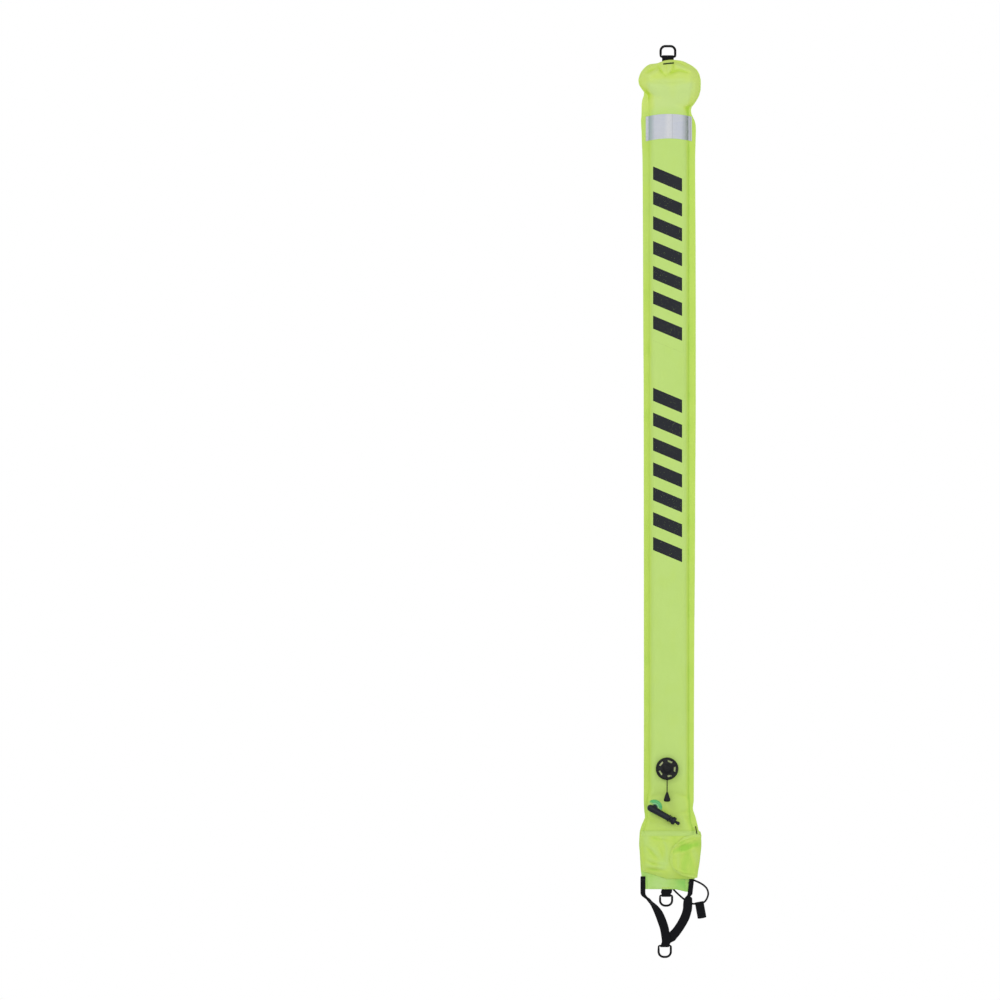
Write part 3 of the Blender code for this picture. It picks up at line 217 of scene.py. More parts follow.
def smooth_along(stations, at):
    """A smooth curve through (place, value) stations that never swings past them."""
    if stations[-1][0] < stations[0][0]:
        stations = stations[::-1]
    if at <= stations[0][0]:
        return stations[0][1]
    if at >= stations[-1][0]:
        return stations[-1][1]
    i = 0
    while stations[i + 1][0] < at:
        i += 1

    def secant(k):
        return (stations[k + 1][1] - stations[k][1]) / (stations[k + 1][0] - stations[k][0])

    def slope(k):
        if k == 0 or k == len(stations) - 1:
            return secant(min(k, len(stations) - 2))
        before, after = secant(k - 1), secant(k)
        return 2 * before * after / (before + after) if before * after > 0 else 0.0

    (start, first), (end, second) = stations[i], stations[i + 1]
    span = end - start
    t = (at - start) / span
    rise = first + (second - first) * t * t * (3 - 2 * t)
    return rise + span * (slope(i) * t * (1 - t) ** 2 - slope(i + 1) * t * t * (1 - t))


def ease(low, high, at):
    """0 below low, 1 above high, and a smooth step between them."""
    t = max(0.0, min(1.0, (at - low) / (high - low)))
    return t * t * (3 - 2 * t)


def bell(*offsets):
    """A soft bump: 1 where every (distance, reach) is at 0, falling off over the reaches."""
    return math.exp(-sum((distance / reach) ** 2 for distance, reach in offsets))


def ripple(x, z, size, seed=0.0):
    """Smooth noise from about -1 to 1, its features about size long. size may be (across, down)."""
    across, down = size if isinstance(size, tuple) else (size, size)
    return noise.noise(Vector((x / across, z / down, seed))) * 1.6


def fold(x, z, line, width, height):
    """A soft ridge, or a valley where height is negative, along a line of (x, z) points."""
    near = 1e9
    share = 0.0
    for k, ((xa, za), (xb, zb)) in enumerate(zip(line, line[1:])):
        dx, dz = xb - xa, zb - za
        t = max(0.0, min(1.0, ((x - xa) * dx + (z - za) * dz) / (dx * dx + dz * dz)))
        gap = math.hypot(x - xa - t * dx, z - za - t * dz)
        if gap < near:
            near, share = gap, (k + t) / (len(line) - 1)
    fade = math.sin(math.pi * min(1.0, 0.12 + 0.76 * share))
    return height * fade * bell((near, width))


def relief(x, z, folds):
    return sum(fold(x, z, line, width, height) for line, width, height in folds)


def run_along(path):
    """The distance from the start of a path to each of its points."""
    run = [0.0]
    for first, second in zip(path, path[1:]):
        run.append(run[-1] + (second - first).length)
    return run


def grid_of(columns, lines, spot):
    """A grid of points: spot gets the shares of the way across and down."""
    return [[spot(i / columns, j / lines) for i in range(columns + 1)] for j in range(lines + 1)]


# Meshes

def linked(name, data):
    made = bpy.data.objects.new(name, data)
    bpy.context.scene.collection.objects.link(made)
    return made


def shade_smooth(mesh, sharpest):
    for face in mesh.polygons:
        face.use_smooth = True
    mesh.set_sharp_from_angle(angle=math.radians(sharpest))


def closed_mesh(work, name):
    """The mesh made from a bmesh, its faces turned outwards."""
    bmesh.ops.recalc_face_normals(work, faces=work.faces)
    mesh = bpy.data.meshes.new(name)
    work.to_mesh(mesh)
    work.free()
    return mesh


def piece(name, nodes, mesh, finish, body="bladder"):
    """A visible piece: its finish, the body it rides on and the CAD nodes it stands for."""
    made = linked(name, mesh)
    mesh.materials.append(finish.material)
    shade_smooth(mesh, SHARPEST)
    if body:
        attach(made, body)
    if nodes:
        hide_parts(*nodes.split())
    return made


def grid_normals(grid, outward):
    """Unit normals of a grid of points, turned to the side of outward."""
    rows, columns = len(grid), len(grid[0])
    outward = Vector(outward)
    normals = []
    total = 0.0
    for j in range(rows):
        line = []
        for i in range(columns):
            across = grid[j][min(i + 1, columns - 1)] - grid[j][max(i - 1, 0)]
            down = grid[min(j + 1, rows - 1)][i] - grid[max(j - 1, 0)][i]
            normal = across.cross(down)
            line.append(normal.normalized() if normal.length > 1e-9 else outward)
            total += line[-1].dot(outward)
        normals.append(line)
    return [[-normal for normal in line] for line in normals] if total < 0 else normals


def shell(name, nodes, grid, low, high, finish, body="bladder", edge=0.5, mark=None, outward=FRONT):
    """A closed thin shell round a grid of points: from low to high along the normals.

    The rim is rounded: there the thickness falls to the share edge. UVs hold millimetres.
    mark is a function of a point that gives the cloth's tone there, or a grid of tones.
    """
    rows, columns = len(grid), len(grid[0])
    normals = grid_normals(grid, outward)
    middle, half = (low + high) / 2, (high - low) / 2
    work = bmesh.new()
    uv = work.loops.layers.uv.new("length")
    tone = work.verts.layers.float.new("mark")
    places = {}
    sides = []
    for sign in (1, -1):
        side = []
        for j in range(rows):
            line = []
            for i in range(columns):
                rim = i in (0, columns - 1) or j in (0, rows - 1)
                lift = middle + sign * half * (edge if rim else 1.0)
                vert = work.verts.new((grid[j][i] + normals[j][i] * lift) * MM)
                if mark:
                    vert[tone] = mark(grid[j][i]) if callable(mark) else mark[j][i]
                line.append(vert)
            side.append(line)
        sides.append(side)
    drop = [0.0] * columns
    for j in range(rows):
        run = run_along(grid[j])
        for i in range(columns):
            if j:
                drop[i] += (grid[j][i] - grid[j - 1][i]).length
            for side in sides:
                places[side[j][i]] = (run[i] - run[-1] / 2, drop[i])

    def face(*corners):
        for loop in work.faces.new(corners).loops:
            loop[uv].uv = places[loop.vert]

    top, bottom = sides
    for j in range(rows - 1):
        for i in range(columns - 1):
            face(top[j][i], top[j][i + 1], top[j + 1][i + 1], top[j + 1][i])
            face(bottom[j][i], bottom[j + 1][i], bottom[j + 1][i + 1], bottom[j][i + 1])
    for i in range(columns - 1):
        face(top[0][i], bottom[0][i], bottom[0][i + 1], top[0][i + 1])
        face(top[-1][i], top[-1][i + 1], bottom[-1][i + 1], bottom[-1][i])
    for j in range(rows - 1):
        face(top[j][0], top[j + 1][0], bottom[j + 1][0], bottom[j][0])
        face(top[j][-1], bottom[j][-1], bottom[j + 1][-1], top[j + 1][-1])
    return piece(name, nodes, closed_mesh(work, name), finish, body)


def ribbon(name, nodes, grid, finish, body="bladder", ply=WEBBING):
    """Webbing ply thick, its middle layer on the grid."""
    return shell(name, nodes, grid, -ply / 2, ply / 2, finish, body)


def ring_of(work, middle, a, b, sides):
    """A ring of vertices round middle. a and b reach from it to the ring."""
    turns = [2 * math.pi * s / sides for s in range(sides)]
    return [work.verts.new((middle + a * math.cos(t) + b * math.sin(t)) * MM) for t in turns]


def join_rings(work, rings):
    """The faces between each ring of vertices and the next, and the caps at both ends."""
    for first, second in zip(rings, rings[1:]):
        for s in range(len(first)):
            t = (s + 1) % len(first)
            work.faces.new((first[s], first[t], second[t], second[s]))
    work.faces.new(rings[0])
    work.faces.new(rings[-1])


def frames_along(path, closed):
    """Two cross directions at each point of a path, turned as little as possible."""
    count = len(path)
    ways = []
    for k in range(count):
        before = path[k - 1] if closed or k else path[0]
        after = path[(k + 1) % count] if closed or k < count - 1 else path[-1]
        ways.append((after - before).normalized())
    side = ways[0].orthogonal().normalized()
    frames = []
    for way in ways:
        side = (side - way * side.dot(way)).normalized()
        frames.append((side, way.cross(side)))
    return frames


def wire(name, nodes, path, radius, finish, body="bladder", closed=False, sides=16):
    """A round wire or cord along a path. radius is a number, or a function of the share of the way."""
    path = [Vector(point) for point in path]
    work = bmesh.new()
    uv = work.loops.layers.uv.new("length")
    run = run_along(path)
    rings = []
    for k, (point, (a, b)) in enumerate(zip(path, frames_along(path, closed))):
        thick = radius(run[k] / run[-1]) if callable(radius) else radius
        rings.append(ring_of(work, point, a * thick, b * thick, sides))
    spans = list(zip(range(len(rings)), range(1, len(rings))))
    if closed:
        spans.append((len(rings) - 1, 0))
        run.append(run[-1] + (path[0] - path[-1]).length)
    for j, k in spans:
        high = run[k] if k else run[-1]
        for s in range(sides):
            t = (s + 1) % sides
            made = work.faces.new((rings[j][s], rings[j][t], rings[k][t], rings[k][s]))
            for loop, place in zip(made.loops, ((s, run[j]), (s + 1, run[j]), (s + 1, high), (s, high))):
                loop[uv].uv = (place[0] / sides, place[1])
    if not closed:
        work.faces.new(rings[0])
        work.faces.new(rings[-1])
    return piece(name, nodes, closed_mesh(work, name), finish, body)


def arc(start, corner, end, steps):
    """Points of a round corner between start and end."""
    shares = [step / steps for step in range(steps + 1)]
    return [start * (1 - t) ** 2 + corner * 2 * t * (1 - t) + end * t * t for t in shares]


def rounded(profile, radius, steps=3):
    """The profile with its corners rounded, keeping its two ends."""
    profile = [Vector(point) for point in profile]
    made = profile[:1]
    for before, corner, after in zip(profile, profile[1:], profile[2:]):
        reach = min(radius, (corner - before).length / 2.2, (after - corner).length / 2.2)
        start = corner + (before - corner).normalized() * reach
        end = corner + (after - corner).normalized() * reach
        made += arc(start, corner, end, steps)
    return made + profile[-1:]


def lathe_mesh(name, profile, origin, direction, steps=72, ring=False, wobble=None):
    """A turned solid. The profile's (radius, height) points run down the outside and up the bore."""
    axis = Vector(direction).normalized()
    turn_to = axis.to_track_quat("Z", "Y")
    work = bmesh.new()
    rings = []
    for radius, height in profile:
        if radius < 1e-6:
            rings.append([work.verts.new((Vector(origin) + axis * height) * MM)])
            continue
        line = []
        for s in range(steps):
            turn = 2 * math.pi * s / steps
            reach = radius * (1 + (wobble(turn, radius, height) if wobble else 0.0))
            spot = turn_to @ Vector((reach * math.cos(turn), reach * math.sin(turn), height))
            line.append(work.verts.new((Vector(origin) + spot) * MM))
        rings.append(line)
    for first, second in zip(rings, rings[1:] + (rings[:1] if ring else [])):
        for s in range(steps):
            t = (s + 1) % steps
            corners = [first[s % len(first)], first[t % len(first)], second[t % len(second)],
                       second[s % len(second)]]
            corners = [c for k, c in enumerate(corners) if c not in corners[:k]]
            if len(corners) > 2:
                work.faces.new(corners)
    return closed_mesh(work, name)


def cylinder(name, radius, low, high, origin, direction, steps):
    """A plain round solid from low to high along the direction."""
    return lathe_mesh(name, [(0, high), (radius, high), (radius, low), (0, low)], origin, direction, steps)


def carved(mesh, operations):
    """The mesh after Booleans, each (mesh, operation)."""
    target = linked("carving", mesh)
    helpers = []
    for other, operation in operations:
        helpers.append(linked("cutter", other))
        step = target.modifiers.new("cut", "BOOLEAN")
        step.operation = operation
        step.object = helpers[-1]
        step.solver = "EXACT"
    bpy.context.view_layer.update()
    graph = bpy.context.evaluated_depsgraph_get()
    made = bpy.data.meshes.new_from_object(target.evaluated_get(graph))
    made.name = mesh.name + "_carved"
    for helper in [target] + helpers:
        bpy.data.objects.remove(helper)
    return made


def stitches(name, path, finish, body="bladder", pitch=3.6, length=2.5, thick=0.34):
    """A row of sewn stitches along a path on a front face, each a short thread that dips at both ends."""
    path = [Vector(point) for point in path]
    run = run_along(path)
    out = Vector(FRONT)

    def spot(at):
        k = 0
        while k < len(run) - 2 and run[k + 1] < at:
            k += 1
        return path[k].lerp(path[k + 1], (at - run[k]) / (run[k + 1] - run[k]))

    work = bmesh.new()
    at = pitch / 2
    while at < run[-1] - pitch / 2:
        start, end = spot(at - length / 2), spot(at + length / 2)
        side = (end - start).normalized().cross(out).normalized()
        rings = []
        for share, size in ((0.0, 0.55), (0.16, 0.9), (0.5, 1.0), (0.84, 0.9), (1.0, 0.55)):
            middle = start.lerp(end, share) + out * thick * (size * 1.5 - 1.15)
            rings.append(ring_of(work, middle, side * thick * size, out * thick * size, 6))
        join_rings(work, rings)
        at += pitch
    return piece(name, "", closed_mesh(work, name), finish, body)


# The cloth tube

def end_shift(x, row):
    """How the rounded top edge and the slanted bottom edge move a point up or down."""
    near_top = max(0.0, (row - HEAD_BOTTOM) / (TOP_Z - HEAD_BOTTOM))
    near_foot = max(0.0, (TAIL_TOP - row) / (TAIL_TOP - TAIL_Z))
    return smooth_along(TOP_LIFT, x) * near_top - TAIL_DROP * ease(SLANT_FROM, SLANT_TO, x) * near_foot


def fixed_share(x, z):
    """1 on open cloth, falling to 0 where something is fixed on it."""
    valve = ease(VALVE_RADIUS + 1, VALVE_RADIUS + 14, math.hypot(x - VALVE_X, z - VALVE_Z))
    flange = ease(18, 28, math.hypot(x - FLANGE_X, z - FLANGE_Z))
    return valve * flange * ease(FOOT - 94, FOOT - 84, z)


def tube_folds(x, row, side):
    if row > -145:
        return relief(x, row, HEAD_FOLDS)
    return relief(x, row, WAIST_FOLDS) if row < FOOT - 4 and side < 0 else 0.0


def inward_of(x, row):
    """How far inside the weld lines a place is."""
    return min(x - smooth_along(LEFT_SEAM, row), smooth_along(RIGHT_SEAM, row) - x)


def tube_depth(x, row, side):
    """How far the cloth stands off the weld plane at a place, puffed and creased."""
    left, right = smooth_along(LEFT_SEAM, row), smooth_along(RIGHT_SEAM, row)
    inward = min(x - left, right - x)
    if inward <= 0:
        return 0.0
    share = 1 - max(0.0, 1 - inward / smooth_along(SHOULDER, row)) ** SHOULDER_POWER
    depth = smooth_along(PUFF, row) * share
    head = ease(-140, -90, row)
    across = (x - (left + right) / 2) / ((right - left) / 2)
    depth *= 1 - 0.14 * head * across ** 2
    soft = share * fixed_share(x, row)
    if row > -60:
        soft *= ease(-34, -52, row)
    seed = 3.0 if side < 0 else 11.0
    rough = 0.75 * ripple(x, row, (46, 120), seed) + 0.4 * ripple(x, row, (18, 42), seed + 2)
    pucker = 0.9 * ripple(0, row, 13, seed + 4 + (5 if x > 0 else 0)) * math.exp(-inward / 9)
    depth += soft * (rough + pucker) * (1 + 0.8 * head)
    depth += tube_folds(x, row, side) * min(1.0, depth / 6)
    return max(depth, 0.0)


def tube_mark(x, row, side):
    """The cloth's tone at a place: 0 deep green, 0.5 the welded edge, 1 the pale front, whose paleness is a
    painted sheen of the front light; the lower tones also carry painted shade.
    """
    inward = inward_of(x, row)
    head = ease(-146, -128, row)
    uneven = 0.08 * ripple(x, row, (20, 34), 61)
    if row < FOOT - 180:
        return 0.5 + 0.3 * ripple(x, row, (9, 30), 62)
    # Painted shade along the weld lines, where the cloth rises steeply; stronger on the right, away from the
    # light.
    weld = (0.02 if x < 0 else 0.15) * (1 - head)
    # Painted light: the left weld is lighter above about z -440, lifting the shade there, and the head's
    # welded edge is lighter near its top, as lit from above.
    edge = 0.5 + (0.16 * ease(-540, -440, row) * (1 - head) if x < 0 else 0.0)
    if inward <= 0:
        return edge + uneven - weld * bell((inward, 1.6)) + 0.1 * head * ease(-110, -90, row)
    # The pale front is a painted sheen of the front light, weaker on the crown, which turns upwards, and
    # towards the foot.
    front = 1 - 0.5 * ease(-82, -66, row) - 0.34 * (1 - ease(FOOT - 84, FOOT + 70, row))
    # A painted green-tinted shade beside the inflator's clear flange.
    if side < 0:
        front -= 0.4 * bell((x + 8, 9), (row - FOOT + 54, 10))
    tone = edge - weld + (front - edge + weld) * ease(1 + 4 * head, 9 + 9 * head, inward)
    # Painted shade in the notches of the head's outline.
    notch_shade = bell((row + 106, 9), (x + 46, 7)) + bell((row + 138, 10), (x - 42, 7))
    notch_shade += 0.7 * bell((row + 135, 22), (x + 52, 5))
    # Folds add painted shade in their valleys and painted light on their ridges.
    return tone + uneven - 0.45 * notch_shade + max(-0.36, min(0.14, 0.09 * tube_folds(x, row, side)))


def sway(x, row):
    """The waving of the welded edges, which moves both layers together."""
    outward = max(-inward_of(x, row), 0.0) / 12
    seed = 21.0 if x < 0 else 27.0
    return 2.2 * outward * ripple(0, row, 38, seed) * ease(FOOT - 60, FOOT + 10, row)


def cloth_y(x, row, side):
    """The y of the outer face of the cloth. side is -1 for the front and 1 for the back."""
    return side * (SKIN + tube_depth(x, row, side)) + sway(x, row)


def tube_lanes(row):
    """The x places of the columns across the tube: 4 on each weld, 8 on each shoulder, 26 between."""
    left, right = smooth_along(LEFT_EDGE, row), smooth_along(RIGHT_EDGE, row)
    seam_left, seam_right = smooth_along(LEFT_SEAM, row), smooth_along(RIGHT_SEAM, row)
    reach = smooth_along(SHOULDER, row)
    curve = [reach * (k / 8) ** 1.5 for k in range(8)]
    low, high = seam_left + reach, seam_right - reach
    lanes = [left + (seam_left - left) * k / 4 for k in range(4)]
    lanes += [seam_left + step for step in curve]
    lanes += [low + (high - low) * k / 26 for k in range(27)]
    lanes += [seam_right - step for step in reversed(curve)]
    return lanes + [seam_right + (right - seam_right) * k / 4 for k in range(1, 5)]


def tube_rows():
    """The heights of the rows, closest together in the head."""
    rows = [TOP_Z - 1.0 * k for k in range(10)]
    rows += [TOP_Z - 10 - 2.0 * k for k in range(53)]
    rows += [-150 + (FOOT + 80 + 150) * k / 280 for k in range(280)]
    rows += [FOOT + 80 - 3.0 * k for k in range(101)]
    return rows + [TAIL_Z]


def build_tube(front_finish, back_finish):
    for name, node, side, finish in (("bladder_front", "bladder_front_panel", -1, front_finish),
                                     ("bladder_back", "bladder_back_panel", 1, back_finish)):
        grid, tones = [], []
        for row in tube_rows():
            lanes = tube_lanes(row)
            grid.append([Vector((x, side * (WELD_GAP + tube_depth(x, row, side)) + sway(x, row),
                                 row + end_shift(x, row))) for x in lanes])
            tones.append([tube_mark(x, row, side) for x in lanes])
        cloth = shell(name, node, grid, 0.0, FABRIC, finish, edge=0.6, mark=tones, outward=(0, side, 0))


def build_band(finish):
    """The reflective band, which follows the cloth and bows down at its ends."""
    def spot(across, down):
        x = BAND_LEFT + (BAND_RIGHT - BAND_LEFT) * across
        row = BAND_TOP - BAND_BOW * (2 * across - 1) ** 2 - BAND_HEIGHT * down
        return Vector((x, cloth_y(x, row, -1), row))

    shell("band_tape", "reflective_band", grid_of(84, 20, spot), 0.1, 0.5, finish)


# Webbing and rings

def flat_row(middle, half, count=8):
    """Points across a flat ribbon: half is the vector from its middle to its edge."""
    return [Vector(middle) + Vector(half) * (2 * i / count - 1) for i in range(count + 1)]


def fold_path(middle, down, length, radius, near):
    """Webbing folded round a bar at middle. Its two ends run down, each near to one side of the bar."""
    middle, down, gap = Vector(middle), Vector(down), Vector((0, near, 0))
    foot, neck = middle + down * length, middle + down * radius * 1.9
    half_way = foot.lerp(neck, 0.5)
    path = [foot - gap, half_way - gap, neck - gap]
    for step in range(17):
        turn = math.radians(-50 + 280 * step / 16)
        path.append(middle - Vector((0, radius * math.cos(turn), 0)) - down * radius * math.sin(turn))
    return path + [neck + gap, half_way + gap, foot + gap]


def loop_path(x, y, bar_z, wire_radius, tail_z):
    """Webbing folded round a ring's bar, both ends running to tail_z."""
    down = (0, 0, math.copysign(1, tail_z - bar_z))
    return fold_path((x, y, bar_z), down, abs(tail_z - bar_z), wire_radius + CLEAR + WEBBING / 2,
                     WEBBING / 2 + CLEAR)


def smooth_route(points, count):
    """Evenly spaced points on a smooth curve through the route, of any number of values each."""
    size = len(points[0])
    first = [2 * a - b for a, b in zip(points[0], points[1])]
    last = [2 * a - b for a, b in zip(points[-1], points[-2])]
    knots = [first] + [list(point) for point in points] + [last]
    fine = []
    for a, b, c, d in zip(knots, knots[1:], knots[2:], knots[3:]):
        for step in range(16):
            t = step / 16
            fine.append([0.5 * (2 * b[k] + (c[k] - a[k]) * t + (2 * a[k] - 5 * b[k] + 4 * c[k] - d[k]) * t * t
                                + (3 * b[k] - a[k] - 3 * c[k] + d[k]) * t ** 3) for k in range(size)])
    fine.append(list(points[-1]))
    reach = run_along([Vector(point[:3]) for point in fine])
    even = []
    spot = 0
    for step in range(count):
        goal = reach[-1] * step / (count - 1)
        while spot < len(fine) - 2 and reach[spot + 1] < goal:
            spot += 1
        share = (goal - reach[spot]) / (reach[spot + 1] - reach[spot])
        even.append([one + (two - one) * share for one, two in zip(fine[spot], fine[spot + 1])])
    return even


def build_loops(finish):
    """The webbing of the top and tail rings. The tail's widens and leans right above its ring."""
    path = smooth_route(loop_path(TOP_LOOP_X, 0, TOP_BAR_Z, TOP_WIRE, -47.0), 46)
    ribbon("top_webbing", "top_webbing_loop", [flat_row(point, (12.9, 0, 0)) for point in path], finish)
    path = loop_path(TAIL_LOOP_X + 0.2, RING_Y, TAIL_BAR_Z, TAIL_WIRE, FOOT - 209)
    grid = []
    for x, y, z in smooth_route(path, 46):
        up = ease(TAIL_BAR_Z + 2, TAIL_BAR_Z + 22, z)
        half = 10.3 + 2.2 * ease(TAIL_BAR_Z + 3.2, TAIL_BAR_Z + 6.5, z) - 1.3 * up
        grid.append(flat_row((x + 3.0 * up, y, z), (half, 0, 0)))
    ribbon("tail_webbing", "tail_webbing_loop", grid, finish)


LEFT_LEG = drops_from_foot([
    # x, y and drop of the middle, then the vector to the right-hand edge
    (-55.6, 0.0, 233.15, 5.0, 0.0, 0.0),
    (-52.0, -0.3, 239.5, 4.4, 1.8, 2.0),
    (-45.0, -0.8, 246, 3.4, 5.2, 3.0),
    (-38.4, -1.0, 252.5, 2.6, 8.4, 2.6),
    (-29.5, -1.0, 263, 5.6, 7.4, 3.4),
    (-21.5, -1.0, 276, 8.2, 4.6, 3.3),
    (-14.8, -1.3, 292, 9.2, 1.5, 2.9),
    (-9.2, -1.6, 309, 9.5, 0.0, 2.0),
    (-6.4, -1.4, 326, 9.6, 0.0, 0.6),
])
RIGHT_LEG = drops_from_foot([
    (-2.2, 1.4, 337.2, 9.3, 0.0, -2.4),
    (4.6, 1.7, 330.4, 8.9, 0.0, -6.2),
    (10.8, 1.9, 323.4, 7.9, 0.0, -6.8),
    (17.8, 1.9, 315.6, 7.7, 0.0, -6.5),
    (28.0, 1.6, 300.5, 8.3, 0.0, -5.5),
    (36.6, 1.3, 284, 9.3, 0.0, -3.8),
    (41.4, 1.0, 268, 9.9, 0.0, -1.2),
    (42.3, 0.7, 256, 10.2, 0.0, 0.3),
    (42.8, 0.4, 246, 9.5, 0.0, 0.8),
    (44.4, 0.2, 238.6, 8.0, 0.0, 0.8),
    (50.2, 0.0, 233.15, 4.9, 0.0, 0.0),
])
STRAP_END = LEFT_LEG[0][2]    # where the folded webbing lets go of the tail's edge
LEFT_OPENS, RIGHT_OPENS = 19, 11     # how far below it the webbing lies flat
RING_Y = SKIN + CLEAR + WEBBING + CLEAR
BRIDLE_RING_X, BRIDLE_BAR_Z = -8.3, FOOT - 347.2
ANCHOR_LAYER = SKIN + CLEAR + WEBBING / 2
ANCHOR_REACH, ANCHOR_FOOT = 8.4, FOOT - 232.2
STRAP_COLUMNS = 12


def folded(middle, side, z):
    """A row of webbing folded lengthwise round the tail's edge, from its front layer to its back one."""
    round_it = math.pi * ANCHOR_LAYER
    total = 2 * ANCHOR_REACH + round_it
    row = []
    for i in range(STRAP_COLUMNS + 1):
        at = total * i / STRAP_COLUMNS
        if at < ANCHOR_REACH:
            spot = (middle - side * (ANCHOR_REACH - at), -ANCHOR_LAYER)
        elif at > ANCHOR_REACH + round_it:
            spot = (middle - side * (at - ANCHOR_REACH - round_it), ANCHOR_LAYER)
        else:
            turn = (at - ANCHOR_REACH) / ANCHOR_LAYER
            spot = (middle + side * ANCHOR_LAYER * math.sin(turn), -ANCHOR_LAYER * math.cos(turn))
        row.append(Vector((*spot, z)))
    return row


def opened(folded_row, flat, share, swing):
    """Between the folded webbing and the flat one: the fold opens as share goes from 0 to 1."""
    row = [point.lerp(end, share) for point, end in zip(folded_row, flat)]
    for i, point in enumerate(row):
        point.y += swing * math.sin(math.pi * share) * max(0.0, 2 * i / STRAP_COLUMNS - 1)
    return row


def anchor_rows(edge_top, edge_foot, z_top, side):
    """The rows of the folded webbing along the tail's edge, from its top to the tail's foot."""
    shares = [k / 8 for k in range(9)]
    return [folded(edge_top + (edge_foot - edge_top) * share + side * 2 * CLEAR, side,
                   z_top + (ANCHOR_FOOT - z_top) * share) for share in shares]


def build_bridle(finish):
    """One length of webbing: folded round both corners of the tail, open between them, through the ring."""
    around = loop_path(BRIDLE_RING_X + 0.6, 0, BRIDLE_BAR_Z, TAIL_WIRE, BRIDLE_BAR_Z + 12)[1:-2]
    spread = [(z - BRIDLE_BAR_Z) / 12 for x, y, z in around]
    around = [(x + 4.2 * high, y, z, 9.6 + 0.6 * high, 0, 0) for (x, y, z), high in zip(around, spread)]
    rows = anchor_rows(-58.6, -58.6, FOOT - 194.6, -1)
    for station in smooth_route(LEFT_LEG + around + RIGHT_LEG, 150)[1:-1]:
        flat = flat_row(station[:3], station[3:], STRAP_COLUMNS)
        x, z = station[0], station[2]
        left = x < 0
        share = ease(0, LEFT_OPENS if left else RIGHT_OPENS, STRAP_END - z)
        if share < 1:
            base = folded(-59.2, -1, z) if left else folded(50.4, 1, z)
            shift = Vector((x - LEFT_LEG[0][0] if left else 0.3 * (x - RIGHT_LEG[-1][0]), 0, 0))
            flat = opened([point + shift for point in base], flat, share, 0.0 if left else 7.0)
        rows.append(flat)
    rows += anchor_rows(53.4, 49.8, FOOT - 200.6, 1)[::-1]
    nodes = "bridle_strap bridle_anchor_left bridle_anchor_right"
    strap = ribbon("bridle_webbing", nodes, rows, finish, None)
    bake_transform(strap)


def ring_points(width, height, wire_radius, rounding, end, x, y, bar_z):
    """The centreline of a D shaped ring: a straight bar and a rounded far side."""
    half = width / 2 + wire_radius
    reach = height + 2 * wire_radius
    corner = wire_radius * 1.5

    def quarter(x, z, radius, start, steps):
        turns = [math.radians(start + 90 * step / steps) for step in range(steps + 1)]
        return [(x + radius * math.cos(turn), z + radius * math.sin(turn)) for turn in turns]

    side = quarter(half - corner, corner, corner, -90, 6)
    side += quarter(half - rounding, reach - rounding, rounding, 0, 14)
    loop = side + [(-a, b) for a, b in reversed(side)]
    dense = []
    for (xa, za), (xb, zb) in zip(loop, loop[1:] + loop[:1]):
        pieces = max(1, round(math.hypot(xb - xa, zb - za) / 1.2))
        dense += [(xa + (xb - xa) * k / pieces, za + (zb - za) * k / pieces) for k in range(pieces)]
    return [Vector((x + a, y, bar_z + end * b)) for a, b in dense]


def build_rings(finish):
    """The three coated rings, drawn a little fuller than their bars, which sit in the webbing."""
    for name, width, height, radius, rounding, end, x, y, bar_z in (
        # eye's width and height, wire radius, rounding, way the eye lies from its bar, and the bar's place
        ("top", 27.6, 19.2, TOP_WIRE, 10.5, 1, TOP_LOOP_X, 0, TOP_BAR_Z),
        ("tail", 22.6, 18.8, TAIL_WIRE, 11.5, -1, TAIL_LOOP_X, RING_Y, TAIL_BAR_Z),
        ("bridle", 23.0, 20.9, TAIL_WIRE, 11.5, -1, BRIDLE_RING_X, 0, BRIDLE_BAR_Z),
    ):
        route = ring_points(width, height, radius, rounding, end, x, y, bar_z)

        def thick(share, radius=radius):
            return radius + 0.5 * ease(0.0, 0.07, share) * (1 - ease(0.65, 0.73, share))

        wire(f"{name}_ring_wire", f"{name}_d_ring", route, thick, finish, f"{name}_ring", True, 20)


# Cords

BUNGEE_RADIUS = 2.1
BUNGEE_ROUTE = drops_from_foot([
    (8.0, 3.4, 207), (8.0, 3.4, 213), (8.8, 3.4, 219), (12.4, 3.7, 225.0),
    (21, 4.4, 233.6), (31.6, 5.4, 243), (40, 6.1, 249.6), (48, 6.2, 253.8),
    (55.5, 5.8, 255.2), (62, 5.75, 254.9), (68, 5.75, 254.2),
    (74, 5.75, 253.1), (79.6, 5.6, 250.4), (84.8, 5.0, 242.8),
    (87.4, 4.6, 232.5), (84.4, 4.7, 221.8), (76.6, 5.1, 213.8),
    (66.8, 5.6, 208), (57, 5.8, 203.6), (48, 5.2, 198.8), (40, 3.9, 194),
    (34, 3.4, 190.4), (28.5, 3.4, 187),
])
TAB_SPOT, TAB_LEAN = (68.0, 5.75, FOOT - 254.2), math.radians(10.4)
TAB_LENGTH, TAB_HALF, TAB_PLY = 33.5, 9.7, 1.2
VALVE_BASE = 11.5 + SKIN
PULL_X, PULL_Y = -3.1, -(VALVE_BASE + 8.0)
PULL_TOP, PULL_BOTTOM = VALVE_Z - 16.0, VALVE_Z - 51.7
PULL_RADIUS, KNOB_LENGTH = 1.15, 21.1


def declare_cord(cord, route, radius, tip, **facts):
    """Measures a cord's route and keeps nothing of it; the cord, its thickness, the piece at its end and the
    facts are not used.
    """
    run_along(route)[-1] * MM


